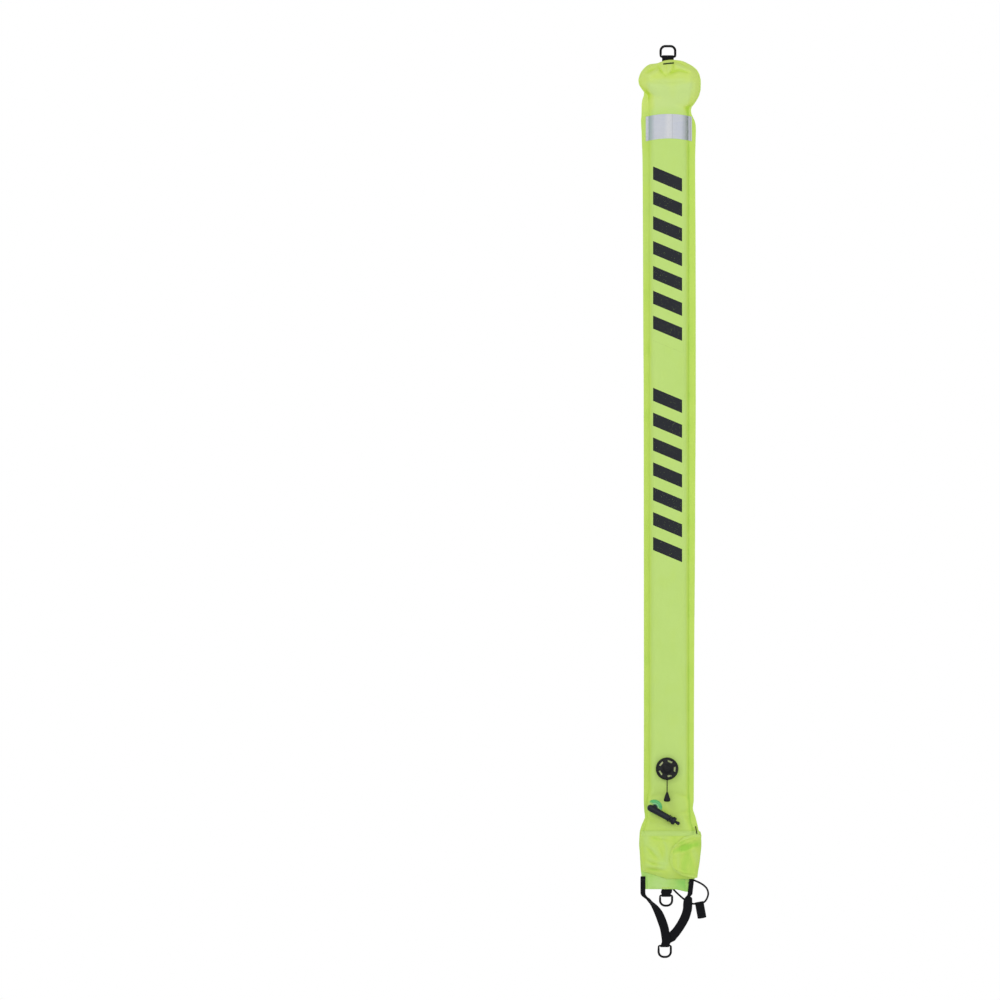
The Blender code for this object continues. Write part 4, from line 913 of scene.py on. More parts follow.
def build_bungee(cord_finish, webbing_finish, thread):
    """The shock cord loop with its webbing tab, and the two sewn blocks that hold its ends."""
    route = [Vector(point) for point in smooth_route(BUNGEE_ROUTE, 150)]
    cord = wire("shock_cord", "bungee_loop", route, BUNGEE_RADIUS, cord_finish)
    tab = build_tab(webbing_finish, thread)
    declare_cord(cord, route, BUNGEE_RADIUS, tab, far_end="object", stiffness="limp", lay="loose")
    for name, (tip, before) in (("low", BUNGEE_ROUTE[:2]), ("high", BUNGEE_ROUTE[:-3:-1])):
        way = Vector(tip) - Vector(before)
        way = Vector((way.x, 0, way.z)).normalized()
        side = way.cross(Vector(BACK))
        foot = Vector((tip[0], 0, tip[2])) + way * CLEAR

        def spot(across, along):
            across = 2 * across - 1
            swell = (1 - abs(across) ** 3) * (0.75 + 0.25 * math.cos(4 * math.pi * along))
            at = foot + side * across * 4.2 + way * 9.0 * along
            return Vector((at.x, SKIN + CLEAR + 0.4 + 3.2 * swell, at.z))

        shell(f"cord_block_{name}", f"bungee_anchor_{name}", grid_of(10, 12, spot), -0.4, 0.8,
              webbing_finish, outward=BACK)


def build_tab(finish, thread):
    """The webbing tab folded over the shock cord, its two plies sewn together."""
    down = Vector((math.sin(TAB_LEAN), 0, -math.cos(TAB_LEAN)))
    across = Vector((math.cos(TAB_LEAN), 0, math.sin(TAB_LEAN))) * TAB_HALF
    near = TAB_PLY / 2 + 0.2
    path = fold_path(TAB_SPOT, down, TAB_LENGTH, BUNGEE_RADIUS + 0.5 + TAB_PLY / 2, near)
    grid = [flat_row(point, across) for point in smooth_route(path, 60)]
    for row in (grid[0], grid[-1]):
        end = row[4].copy()
        for point in row:
            point.z += 1.3 * ((point - end).length / TAB_HALF) ** 4
    tab = ribbon("cord_tab", "bungee_tab", grid, finish, ply=TAB_PLY)
    front = Vector(TAB_SPOT) - Vector((0, near + TAB_PLY / 2 + 0.1, 0))
    box = [(-0.74, 28.5), (0.74, 28.5), (0.74, 20.5), (-0.74, 20.5), (-0.74, 28.5)]
    corners = [front + across * a + down * b for a, b in box]
    path = [p.lerp(q, k / 12) for p, q in zip(corners, corners[1:]) for k in range(12)]
    stitches("tab_stitching", path, thread, pitch=2.6, length=1.8, thick=0.26)
    return tab


def build_pull(cord_finish, plastic):
    """The valve's pull cord and its cone shaped knob."""
    top, foot = Vector((PULL_X, PULL_Y, PULL_TOP)), Vector((PULL_X, PULL_Y, PULL_BOTTOM))
    route = [top.lerp(foot, k / 30) for k in range(31)]
    cord = wire("pull_line", "opv_pull_cord", route, PULL_RADIUS, cord_finish, "pull_knob", sides=12)
    profile = rounded([
        (0, 0.2), (2.0, 0), (2.7, -1.6), (4.4, -7.0), (6.5, -13.6), (7.3, -16.8), (6.9, -19.2),
        (5.2, -20.7), (3.0, -KNOB_LENGTH), (0, -KNOB_LENGTH),
    ], 1.4)

    def grip(turn, radius, height):
        return 0.035 * bell((height + 13.5, 5.5)) * math.cos(10 * turn)

    mesh = lathe_mesh("pull_knob_cone", profile, foot, UP, 60, wobble=grip)
    knob = piece("pull_knob_cone", "opv_pull_knob", mesh, plastic, "pull_knob")
    declare_cord(cord, route, PULL_RADIUS, knob, far_end="fitting", stiffness="medium", lay="hanging")


# Valve and inflator

CAP_HEIGHT, CAP_WALL = 14.5, 1.6
SLOTS, SLOT_TURN, SLOT_RADIUS = 5, -4.0, 16.6
VALVE_PLACE = (VALVE_X, -VALVE_BASE, VALVE_Z), FRONT
CAP_RIM = VALVE_Z - VALVE_RADIUS
INFLATOR_BASE = 6.0 + SKIN
BARREL_SLOPE = math.radians(29.05)
BARREL_HEIGHT, BARREL_RADIUS = 9.6, 7.3
BARREL_BACK, BARREL_FRONT = -16.6, 38.6
BARREL_FOOT = Vector((-31.5, -(INFLATOR_BASE + BARREL_HEIGHT), FOOT - 48.8))
BARREL_WAY = Vector((math.cos(BARREL_SLOPE), 0, -math.sin(BARREL_SLOPE)))
BARREL_PLACE = BARREL_FOOT, BARREL_WAY
COLLAR_END, NIPPLE_END = 50.5, 63.9
SPRING_WIRE = 0.35


def turned(name, nodes, profile, place, finish, body="bladder", steps=72, ring=False, wobble=None):
    """A turned piece. place is its origin and the direction of its heights."""
    return piece(name, nodes, lathe_mesh(name, profile, *place, steps, ring, wobble), finish, body)


def heights_from(start, profile):
    """A profile whose heights are given from start."""
    return [(radius, start + height) for radius, height in profile]


def build_valve(plastic, lime_plastic):
    """The valve's welded flange and its slotted, domed cap."""
    low, high = CLEAR, CLEAR + 1.2
    turned("valve_flange", "opv_weld_flange", rounded([
        (9.5, high), (24.0, high), (24.6, low), (11.1, low), (11.1, low - 6.0), (9.5, low - 6.0),
    ], 0.3), VALVE_PLACE, lime_plastic, "bladder", 96, True)
    turned("vent_ring", "", rounded([
        (14.2, 6.4), (19.8, 6.4), (20.4, 5.8), (20.4, 1.7), (13.6, 1.7), (13.6, 5.8), (14.2, 6.4),
    ], 0.4)[:-1], VALVE_PLACE, lime_plastic, "bladder", 96, True)
    seat = high + CLEAR
    top = seat + CAP_HEIGHT
    outline = heights_from(top, [
        (0, 0), (1.6, -0.1), (1.9, -0.5), (3.6, -0.6), (3.9, -0.3), (5.2, -0.6), (5.5, -1.1), (7.0, -1.5),
        (9.0, -2.6), (9.9, -4.8), (11.4, -5.4), (20.8, -6.1), (21.4, -5.7), (22.6, -5.9), (24.2, -7.6),
        (25.0, -10.0),
    ]) + heights_from(seat, [(25.0, 0.6), (24.5, 0), (23.4, 0)]) + heights_from(top, [
        (23.4, -10.4), (22.8, -9.2), (19.8, -7.6), (8.4, -6.6), (7.4, -4.0), (3.0, -2.2), (3.0, -5.5),
        (1.8, -5.5), (1.8, -CAP_WALL), (0, -CAP_WALL),
    ])

    def scallop(turn, radius, height):
        rim = ease(23.8, 24.9, radius) * ease(seat + 0.5, seat + 1.5, height)
        return -0.012 * rim * (0.5 + 0.5 * math.cos(30 * turn)) ** 3

    cap = lathe_mesh("valve_cap", rounded(outline, 0.45, 2), *VALVE_PLACE, 150, False, scallop)
    cutters = [slot_cutter(top, math.radians(SLOT_TURN + 360 / SLOTS * k)) for k in range(SLOTS)]
    cutters.append(cylinder("cord_way", 2.4, -4, 9, (PULL_X, PULL_Y, CAP_RIM), UP, 24))
    piece("valve_cap", "opv_cap", carved(cap, [(cutter, "DIFFERENCE") for cutter in cutters]), plastic)
    turned("cord_guide", "opv_cord_guide", rounded([
        (1.2, 1.8), (1.7, 2.1), (2.2, 1.6), (2.2, -1.6), (1.7, -2.1), (1.2, -1.8),
    ], 0.3), ((PULL_X, PULL_Y, CAP_RIM + 2.0), UP), plastic, "bladder", 32, True)


def slot_cutter(top, turn):
    """A tapered window, wider towards the rim, to cut through the cap."""
    outline = [Vector(corner) for corner in ((-4.7, -1.9), (4.7, -1.9), (6.1, 1.9), (-6.1, 1.9))]
    foot = Vector(VALVE_PLACE[0])
    way = Vector((math.cos(turn), 0, math.sin(turn)))
    side = Vector((-math.sin(turn), 0, math.cos(turn)))
    corners = []
    for k, here in enumerate(outline):
        before, after = outline[k - 1], outline[(k + 1) % 4]
        start = here + (before - here).normalized() * 1.1
        corners += arc(start, here, here + (after - here).normalized() * 1.1, 2)
    work = bmesh.new()
    join_rings(work, [[
        work.verts.new((foot + way * (SLOT_RADIUS + b) + side * a + Vector(FRONT) * height) * MM)
        for a, b in corners] for height in (top - 11.0, top - 3.0)])
    return closed_mesh(work, "slot")


def build_inflator(plastic, clear):
    """The swivelling barrel on its clear flange, the ringed collar and the mouthpiece."""
    turned("inflator_flange", "inflator_base_flange", rounded([
        (3.0, 1.2), (7.5, 1.2), (8.0, 1.5), (9.2, 1.5), (9.7, 1.2), (16.0, 1.2), (17.0, 0.5), (16.8, 0),
        (3.0, 0),
    ], 0.3), ((FLANGE_X, -(INFLATOR_BASE + CLEAR), FLANGE_Z), FRONT), clear, "bladder", 96, True)
    ring = BARREL_RADIUS + 0.8
    profile = heights_from(BARREL_FRONT, [
        (0, 0), (ring - 0.5, 0), (ring, -0.5), (ring, -2.2), (ring - 0.4, -2.8), (BARREL_RADIUS - 0.4, -3.4),
    ])
    profile += [(BARREL_RADIUS - 0.5, 22.0), (BARREL_RADIUS, 9.0), (BARREL_RADIUS + 0.1, -2.0)]
    for step in range(10):
        turn = math.pi / 2 * step / 9
        profile.append((BARREL_RADIUS * math.cos(turn), BARREL_BACK + BARREL_RADIUS * (1 - math.sin(turn))))
    profile[-1] = (0, BARREL_BACK)
    barrel = lathe_mesh("inflator_barrel", profile, *BARREL_PLACE, 64)
    stem_low = CLEAR + 1.2 + CLEAR
    reach = BARREL_HEIGHT - stem_low
    stem_place = (FLANGE_X, -(INFLATOR_BASE + stem_low), FLANGE_Z), FRONT
    profile = [(0, reach), (5.5, reach), (5.8, 3.0), (6.1, 1.2), (6.5, 0.5), (6.5, 0), (0, 0)]
    stem = lathe_mesh("stem", profile, *stem_place, 48)
    bore = cylinder("bore", 4.2, -6, BARREL_FRONT + 3, *BARREL_PLACE, 48)
    air = cylinder("air_way", 2.4, -3, reach, *stem_place, 32)
    steps = [(stem, "UNION"), (bore, "DIFFERENCE"), (air, "DIFFERENCE")]
    piece("inflator_barrel", "inflator_elbow", carved(barrel, steps), plastic, "inflator")
    build_cuff(plastic)
    turned("inflator_mouthpiece", "inflator_nipple", rounded(heights_from(NIPPLE_END, [
        (0, 0), (2.4, 0), (3.6, -1.6), (3.7, -5.4), (2.8, -7.2),
    ]) + heights_from(BARREL_FRONT, [
        (2.8, 5.4), (3.9, 5.4), (3.9, 4.2), (2.4, 4.2), (2.4, 2.0), (3.9, 2.0), (3.9, 0), (0, 0),
    ]), 0.4), BARREL_PLACE, plastic, "mouthpiece", 48)


def build_cuff(plastic):
    """The ribbed collar that keeps the mouthpiece in the barrel."""
    full, waist, groove, hole = BARREL_RADIUS + 1.3, BARREL_RADIUS - 0.2, BARREL_RADIUS - 0.7, 3.0

    def ribs(turn, radius, height):
        return 0.02 * ease(7.0, 7.4, radius) * math.cos(26 * turn)

    turned("inflator_cuff", "inflator_collar", rounded(heights_from(COLLAR_END, [
        (hole, 2.9), (5.2, 2.9), (7.0, 2.4), (full - 0.4, 1.4), (full, 0), (full, -3.8),
        (BARREL_RADIUS + 0.5, -5.2), (groove, -6.0), (groove, -8.0), (waist, -9.0),
    ]) + heights_from(BARREL_FRONT + CLEAR, [(waist, 0.6), (groove, 0), (4.2, 0)])
        + heights_from(COLLAR_END - 4.0, [(4.2, 0), (hole, 0)]), 0.35),
        BARREL_PLACE, plastic, "inflator", 72, True, ribs)


def coil(radius, low, high, curls, per_curl=20):
    """Points of a coil as (across, across, height), with a flat turn at each end."""
    points = []
    for i in range((curls + 2) * per_curl + 1):
        turn = 2 * math.pi * i / per_curl
        share = max(0.0, min(1.0, (i / per_curl - 1) / curls))
        points.append((radius * math.cos(turn), radius * math.sin(turn), low + (high - low) * share))
    return points


def build_springs(steel):
    """The valve's spring and the mouthpiece's."""
    lean = (math.sin(BARREL_SLOPE), 0, math.cos(BARREL_SLOPE))
    for name, node, body, place, sides, turns, joint, axis, hold, keep in (
        # two directions across the coil, the coil, its joint, and the height that stays where it is
        ("valve_spring", "opv_spring", "bladder", VALVE_PLACE, ((1, 0, 0), UP), coil(4.2, 7.85, 12.75, 2),
         "poppet_lift", BACK, 13.1, 0.52),
        ("mouthpiece_spring", "inflator_spring", "inflator", BARREL_PLACE, (lean, BACK),
         coil(2.9, 28.15, 37.95, 4), "mouthpiece_push", tuple(BARREL_WAY), 27.8, 0.69),
    ):
        foot, way, one, two = (Vector(given) for given in (*place, *sides))
        path = [foot + one * a + two * b + way * height for a, b, height in turns]
        spring = wire(name, node, path, SPRING_WIRE, steel, body, sides=10)
        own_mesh(spring)
        tuple(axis)


# Pouch and tail

POUCH_TOP, POUCH_BOTTOM = FOOT - 95, FOOT - 200
POUCH_INSET, POUCH_DEPTH, POUCH_FOOT_RIGHT = 1.7, 9.0, 60.5
POUCH_RISE_FROM, POUCH_RISE = FOOT - 112, 18.0
POUCH_BASE = SKIN + CLEAR                              # how far the pouch's cloth lies off the weld plane
POUCH_FACE = POUCH_BASE + POUCH_DEPTH + FABRIC + CLEAR
POUCH_PUFF = from_foot([
    (-95, 0.85), (-112, 1.0), (-182, 1.0), (-194, 0.45), (-200, 0.0),
])
HINGE_TOP, HINGE_FOOT = (72.0, FOOT - 103), (62.8, FOOT - 198)
HINGE_DEPTH, HINGE_BEND = 2.75, 9.0
FLAP_WIDTH, FLAP_HEIGHT = 62, 80
FLAP_LIFT = 2 * (CLEAR + PATCH)
FLAP_TOP = [(3.5, FOOT - 134), (20, FOOT - 121), (35, FOOT - 109), (52, FOOT - 104.5), (72, FOOT - 103)]
FLAP_FOOT = [(3.5, FOOT - 176), (20, FOOT - 187), (35, FOOT - 194), (60, FOOT - 198), (72, FOOT - 198)]
PATCH_PLACE = (25.0, 47.0, FOOT - 180, FOOT - 124)     # left, right, foot and top
POUCH_FOLDS = folds_from_foot([
    ([(-50, -130), (-38, -142), (-28, -154)], 3.0, -1.8),
    ([(-43, -127), (-32, -138), (-22, -150)], 3.0, 1.3),
    ([(-48, -178), (-28, -181), (-8, -184)], 3.0, -2.4),
    ([(-48, -171), (-28, -173), (-6, -177)], 3.0, 1.8),
    ([(-12, -112), (-5, -130), (-3, -150), (-1, -172)], 3.4, 2.0),
    ([(-56, -112), (-57, -140), (-54, -170)], 2.6, -1.6),
    ([(-38, -110), (-14, -115), (4, -117)], 3.6, -1.6),
    ([(-42, -156), (-24, -164), (-6, -168)], 3.6, 1.6),
    ([(-22, -130), (-14, -146), (-12, -160)], 3.2, -1.6),
    ([(-52, -158), (-40, -166), (-26, -170)], 2.8, -1.2),
])
FLAP_FOLDS = folds_from_foot([
    ([(5, -132), (26, -125), (46, -117), (66, -111)], 3.4, 2.6),
    ([(9, -150), (30, -144), (50, -136), (68, -130)], 4.2, 2.0),
    ([(24, -116), (44, -110), (64, -106)], 2.2, 1.4),
    ([(59, -136), (61, -160), (57, -186)], 3.0, 1.5),
    ([(20, -154), (22, -168), (20, -180)], 3.0, 1.3),
    ([(8, -176), (24, -185), (44, -190)], 2.6, 1.3),
])


def flap_mark(point):
    """The flap's tone: greener over the fastening, greenest along its top, which is painted shade below the
    top fold.
    """
    x, z = point.x, point.z
    patch = ease(22, 29, x) * (1 - ease(49, 55, x)) * ease(FOOT - 196, FOOT - 186, z)
    patch *= 1 - ease(FOOT - 126, FOOT - 118, z)
    slope = (x - 38) * 0.25
    spot = bell((x - 39, 27), (z - (FOOT - 132) - slope, 7.0))
    spot += 0.35 * bell((x - 30, 26), (z - (FOOT - 119) - slope, 3.5))
    tone = 0.5 - 0.16 * patch - 0.55 * spot + 0.2 * ripple(x, z, (15, 28), 71)
    # Folds get painted shade in their valleys and painted light on their ridges.
    return tone + max(-0.14, min(0.25, 0.09 * relief(x, z, FLAP_FOLDS)))


def pouch_mark(point):
    tone = 0.7 + 0.24 * ripple(point.x, point.z, (20, 28), 73) - 0.2 * ease(-10, 20, point.x)
    # Folds get painted shade in their valleys and painted light on their ridges.
    return tone + max(-0.5, min(0.25, 0.15 * relief(point.x, point.z, POUCH_FOLDS)))


def pouch_shape(share):
    """How much of its depth the pouch has at a share of the way across: rounded at both sides."""
    return 1 - max(0.0, 1 - min(share, 1 - share) / 0.14) ** 2.1


def pouch_rise(x, row):
    """The pouch's lower left corner is drawn up."""
    fade = max(0.0, (POUCH_RISE_FROM - row) / (POUCH_RISE_FROM - POUCH_BOTTOM))
    return POUCH_RISE * max(0.0, (-4.0 - x) / 58.0) * fade


def on_pouch(share, row):
    """A point on the inner face of the pouch's front."""
    left, right = smooth_along(LEFT_EDGE, row) + POUCH_INSET, smooth_along(RIGHT_EDGE, row) - POUCH_INSET
    if row < FOOT - 190:
        right = min(right, POUCH_FOOT_RIGHT - POUCH_INSET)
    x = left + (right - left) * share
    z = row + pouch_rise(x, row)
    full = pouch_shape(share) * smooth_along(POUCH_PUFF, row)
    crumple = 0.55 * ripple(x, z, (17, 24), 31) + 0.25 * ripple(x, z, (7, 9), 33) + relief(x, z, POUCH_FOLDS)
    depth = full * (POUCH_DEPTH + (1 - ease(-8, 3, x)) * crumple)
    depth += (tube_depth(x, row, -1) + 0.05 - depth) * ease(FOOT - 111, FOOT - 97, row)
    return Vector((x, -(POUCH_BASE + max(depth, 0.0)), z))


def build_pouch(fabric, hook, thread, webbing):
    columns, lines = 100, 84
    rows = [POUCH_TOP + (POUCH_BOTTOM - POUCH_TOP) * j / lines for j in range(lines + 1)]
    grid = [[on_pouch(i / columns, row) for i in range(columns + 1)] for row in rows]
    front = shell("pouch_front", "pouch_front_panel", grid, 0.0, FABRIC, fabric, edge=0.7, mark=pouch_mark)

    def on_hem(across, down):
        return on_pouch(0.02 + 0.96 * across, POUCH_TOP + 0.4 - 12.0 * down)

    # The hem's tone is the pale front's, with its painted sheen.
    shell("pouch_hem", "pouch_top_hem", grid_of(columns, 8, on_hem), FABRIC + 0.03, FABRIC + 0.24, fabric,
          edge=0.3, mark=lambda point: 1.05 + 0.15 * ripple(point.x, 0, 20, 75))
    for k, drop in enumerate((1.6, 10.4)):
        path = [on_pouch(0.03 + 0.94 * i / 140, POUCH_TOP - drop) + Vector((0, -1.15, 0)) for i in range(141)]
        stitches(f"hem_stitching_{k + 1}", path, thread)
    patch("loop_patch", "pouch_loop_patch", POUCH_FACE, hook, "bladder")

    def on_tab(across, down):
        x, z = 58.6 + 2.0 * across + 2.8 * down, FOOT - 84.5 - 16.5 * down
        near = on_pouch((x + 62) / 131.5, min(z, POUCH_TOP)).y - FABRIC - 0.8
        return Vector((x, -1.3 + (near + 1.3) * ease(FOOT - 86, FOOT - 95, z), z))

    shell("side_tab", "pouch_side_tab", grid_of(4, 18, on_tab), 0.0, 1.2, webbing)


def patch(name, node, depth, finish, body):
    """A rectangle of hook or loop, its back depth in front of the weld plane."""
    left, right, foot, top = PATCH_PLACE

    def spot(across, down):
        a, b = 2 * across - 1, 2 * down - 1
        corner = 1.6 * abs(a * b) ** 12
        x = left + (right - left) * across - math.copysign(corner, a)
        return Vector((x, -depth, top + (foot - top) * down + math.copysign(corner, b)))

    shell(name, node, grid_of(14, 34, spot), 0.02, PATCH, finish, body, 0.6)


def on_flap(share, down):
    """A point on the inner face of the flap, from its free edge to its sewn one, and from top to foot."""
    free = 3.5 + 9.0 * abs(2 * down - 1) ** 3.2
    right = HINGE_TOP[0] + (HINGE_FOOT[0] - HINGE_TOP[0]) * down
    x = free + (right - free) * share
    top, foot = smooth_along(FLAP_TOP, x), smooth_along(FLAP_FOOT, x)
    row = top + (foot - top) * down
    left = smooth_along(LEFT_EDGE, row) - 2.0
    shape = pouch_shape((x - left) / (right - left))
    depth = (POUCH_DEPTH + FLAP_LIFT) * shape
    soft = shape * (1 - ease(0.9, 1.0, share))
    depth += (relief(x, row, FLAP_FOLDS) + 0.3 + 0.3 * ripple(x, row, (14, 22), 37)) * soft
    depth -= 2.0 * shape * (1 - ease(0, 0.2, share) * ease(0, 0.1, down) * ease(0, 0.1, 1 - down))
    droop = 0.4 * (1 - ease(0.0, 0.16, share)) * ripple(0, row, 16, 41)
    x += 1.2 * math.sin(math.pi * down) * ease(0.8, 1.0, share)
    return Vector((x, 0.4 - HINGE_DEPTH - depth - max(droop, -0.2), row))


def build_flap(fabric, hook, thread):
    """The flap with its bound edge, its hook patch and its rows of stitching."""
    grid = grid_of(60, 76, on_flap)
    flap = shell("flap_cloth", "pouch_flap", grid, 0.0, FABRIC, fabric, None, 0.7, flap_mark)
    rims = zip(flap_rim(0.002, 0.002), flap_rim(0.085, 0.055))
    grid = [[outer.lerp(inner, k / 6) for k in range(7)] for outer, inner in rims]
    # The binding is painted lighter than the flap: painted light that lifts the shade along the flap's edge.
    binding = shell("flap_edge_tape", "flap_binding", grid, FABRIC + 0.04, FABRIC + 0.24, fabric, None, 0.3,
                    lambda point: flap_mark(point) + 0.24)
    bend(flap)
    bend(binding)
    patch("hook_patch", "flap_hook_patch", POUCH_FACE + PATCH + CLEAR, hook, "pouch_flap")
    around = [point + Vector((0, -1.25, 0)) for point in flap_rim(0.055, 0.08)]
    bend(stitches("flap_stitching", around, thread, None))
    left, right, foot, top = PATCH_PLACE
    left, right, foot, top = left + 1.5, right - 1.5, foot + 1.5, top - 1.5
    box = [(left, top), (left, foot), (right, foot), (right, top), (left, top)]
    path = [flap_front(xa + (xb - xa) * k / 30, za + (zb - za) * k / 30)
            for (xa, za), (xb, zb) in zip(box, box[1:]) for k in range(30)]
    stitches("patch_stitching", path, thread, "pouch_flap")


def bend(made):
    """Bakes the piece's place into its mesh."""
    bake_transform(made)


def flap_front(x, z):
    """The outer face of the flap at a place, found by stepping towards it."""
    share, down = 0.5, 0.5
    for _ in range(14):
        here = on_flap(share, down)
        share = max(0.0, min(1.0, share + (x - here.x) / FLAP_WIDTH))
        down = max(0.0, min(1.0, down - (z - here.z) / FLAP_HEIGHT))
    return on_flap(share, down) - Vector((0, FABRIC + 0.12, 0))


def flap_rim(inset_across, inset_down):
    """Points along the flap's free edges, set in from them."""
    low, high = inset_down, 1 - inset_down
    path = [on_flap(0.97 - (0.97 - inset_across) * k / 40, low) for k in range(41)]
    path += [on_flap(inset_across, low + (high - low) * k / 40) for k in range(1, 41)]
    return path + [on_flap(inset_across + (0.9 - inset_across) * k / 40, high) for k in range(1, 41)]


def build_tail(fabric, thread):
    """The sewn band across the tail, with its rows of stitching."""
    left, right = -46.0, 36.5

    def on_tail(share, down):
        x = left + (right - left) * share
        top = POUCH_BOTTOM + pouch_rise(x, POUCH_BOTTOM) - 0.8
        row = top + (TAIL_Z + 0.4 - top) * down
        wave = max(0.0, 0.8 * ripple(x, row, (16, 12), 51) + 0.3) * math.sin(math.pi * share)
        return Vector((x, -POUCH_BASE - wave, row + end_shift(x, row)))

    def mark(point):
        tone = 0.7 - 0.5 * ease(2, 24, point.x) + 0.2 * ripple(point.x, point.z, 15, 77)
        return tone + 0.2 * bell((point.x + 17, 12))

    shell("tail_cloth_band", "tail_band", grid_of(60, 20, on_tail), 0.0, FABRIC, fabric, edge=0.7, mark=mark)
    for k, down in enumerate((0.09, 0.92)):
        path = [on_tail(0.02 + 0.96 * i / 60, down) + Vector((0, -0.95, 0)) for i in range(61)]
        stitches(f"tail_stitching_{k + 1}", path, thread)


def build_tacks(thread, black, lime):
    """Dense zigzag bar tacks, each standing for its block of thread, and the top webbing's tack."""
    for name, node, finish in (("tail_tack", "tail_bar_tack", lime),
                               ("left_anchor_tack", "bridle_anchor_left_tack", black),
                               ("right_anchor_tack", "bridle_anchor_right_tack", black)):
        low, high = (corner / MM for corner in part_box(node))
        middle, height = (low.z + high.z) / 2, high.z - low.z
        zigzag(name, node, low.x, high.x, middle, height, lambda x, z: high.y, 0, finish)
    cloth = bpy.data.objects["bladder_front"].data
    tree = BVHTree.FromPolygons([v.co for v in cloth.vertices], [p.vertices[:] for p in cloth.polygons])

    def front(x, z):
        return tree.ray_cast(Vector((x * MM, -1, z * MM)), Vector(BACK))[0].y / MM - 0.3

    zigzag("top_tack", "", -11.2, 11.4, -34.3, 3.3, front, 2.2, thread, 0.55)


def zigzag(name, node, left, right, z, height, back, lean, finish, thick=0.38):
    """A bar of dense stitching from left to right on the face back, raised lean at its right end."""
    count = max(8, round((right - left) / (1.6 * thick)))
    step = (right - left) / count
    path = []
    for k in range(count + 1):
        x = left + (right - left) * k / count
        middle = z + lean * (k / count - 0.5)
        for part in (-1, -0.33, 0.33, 1):
            up = middle + (height / 2 - 0.3) * part * (1 if k % 2 else -1)
            path.append(Vector((x + step * 0.4 * part, back(x, up) - 0.32, up)))
    wire(name, node, path, thick, finish, sides=8)


# Finishes

def sign(operation):
    return lambda value, other: value.finish.maths(operation, value, other)


class Value:
    """What a node gives. A sign between two values, or a value and a number, adds the node for it."""

    __add__, __sub__, __mul__ = sign("ADD"), sign("SUBTRACT"), sign("MULTIPLY")
    __truediv__, __pow__ = sign("DIVIDE"), sign("POWER")
    __lt__, __gt__ = sign("LESS_THAN"), sign("GREATER_THAN")

    def __init__(self, finish, socket):
        self.finish, self.socket = finish, socket

    def through(self, operation):
        return self.finish.maths(operation, self)

    def spread(self, low, high, new_low=0.0, new_high=1.0, kind="LINEAR"):
        """The value carried from the range low to high to the new range."""
        return self.finish.node("MapRange", "Result", {"interpolation_type": kind}, Value=self, From_Min=low,
                                From_Max=high, To_Min=new_low, To_Max=new_high)

    def near(self, middle, reach):
        """1 at the middle value, falling smoothly to 0 a reach away."""
        return (self - middle).through("ABSOLUTE").spread(0.0, reach, 1.0, 0.0, "SMOOTHSTEP")


class Finish:
    """A procedural material and its slot: a Principled shader and the nodes that feed it."""

    def __init__(self, name, slot, colour, roughness, **sockets):
        self.slot = slot
        self.material = bpy.data.materials.new(name)
        self.material.use_nodes = True
        self.tree = self.material.node_tree
        self.shader = self.tree.nodes["Principled BSDF"]
        self.normal = None
        self.place = self.node("TexCoord", "Object")
        self.set(Base_Color=colour, Roughness=roughness, **sockets)

    def set(self, **sockets):
        self.fill(self.shader, sockets)

    def fill(self, node, values):
        """Sets or feeds inputs of a node, given by name with _ for a space."""
        for name, value in values.items():
            self.feed(node.inputs[name.replace("_", " ")], value)

    def feed(self, target, value):
        if isinstance(value, Value):
            self.tree.links.new(value.socket, target)
        else:
            target.default_value = (*value, 1.0) if target.type == "RGBA" else value

    def node(self, kind, output, settings=None, **values):
        """What a new node gives from its settings and its inputs."""
        made = self.tree.nodes.new("ShaderNode" + kind)
        for key, value in (settings or {}).items():
            setattr(made, key, value)
        self.fill(made, values)
        return Value(self, made.outputs[output])

    def parts(self, vector=None):
        """The x, y and z of a vector, or of the place on the object, in metres."""
        first = self.node("SeparateXYZ", 0, Vector=vector or self.place)
        return [Value(self, socket) for socket in first.socket.node.outputs]

    def woven_parts(self):
        """The millimetres across and along a ribbon, or the turn and millimetres along a cord."""
        return self.parts(self.node("TexCoord", "UV"))[:2]

    def numbered(self, kind, output, settings, values):
        """What a new node gives from inputs that are given by number."""
        given = self.node(kind, output, settings)
        for number, value in values.items():
            self.feed(given.socket.node.inputs[number], value)
        return given

    def maths(self, operation, *values):
        return self.numbered("Math", 0, {"operation": operation}, dict(enumerate(values)))

    def mix(self, share, first, second, kind="MIX"):
        settings = {"data_type": "RGBA", "blend_type": kind}
        return self.numbered("Mix", 2, settings, {0: share, 6: first, 7: second})

    def noise(self, scale, detail=3.0, rough=0.5, place=None):
        return self.node("TexNoise", "Fac", Scale=scale, Detail=detail, Roughness=rough,
                         Vector=place or self.place)

    def cloud(self, scale, detail=3.0, new_low=0.0, new_high=1.0):
        """Noise carried to a range."""
        return self.noise(scale, detail).spread(0.3, 0.7, new_low, new_high)

    def tones(self, value, colours):
        low = self.mix(value.spread(0.0, 0.5), colours[0], colours[1])
        return self.mix(value.spread(0.5, 1.0), low, colours[2])

    def bump(self, height, distance, strength=1.0):
        """Adds relief: height 0 to 1 over distance millimetres."""
        values = {"Height": height, "Distance": distance * MM, "Strength": strength}
        if self.normal:
            values["Normal"] = self.normal
        self.normal = self.node("Bump", "Normal", **values)
        self.set(Normal=self.normal)

    def dressed(self, colour, rough, *bumps):
        """The finish with its colour, its roughness and its reliefs, each (height, distance, strength)."""
        self.set(Base_Color=colour, Roughness=rough)
        for bump in bumps:
            self.bump(*bump)
        return self
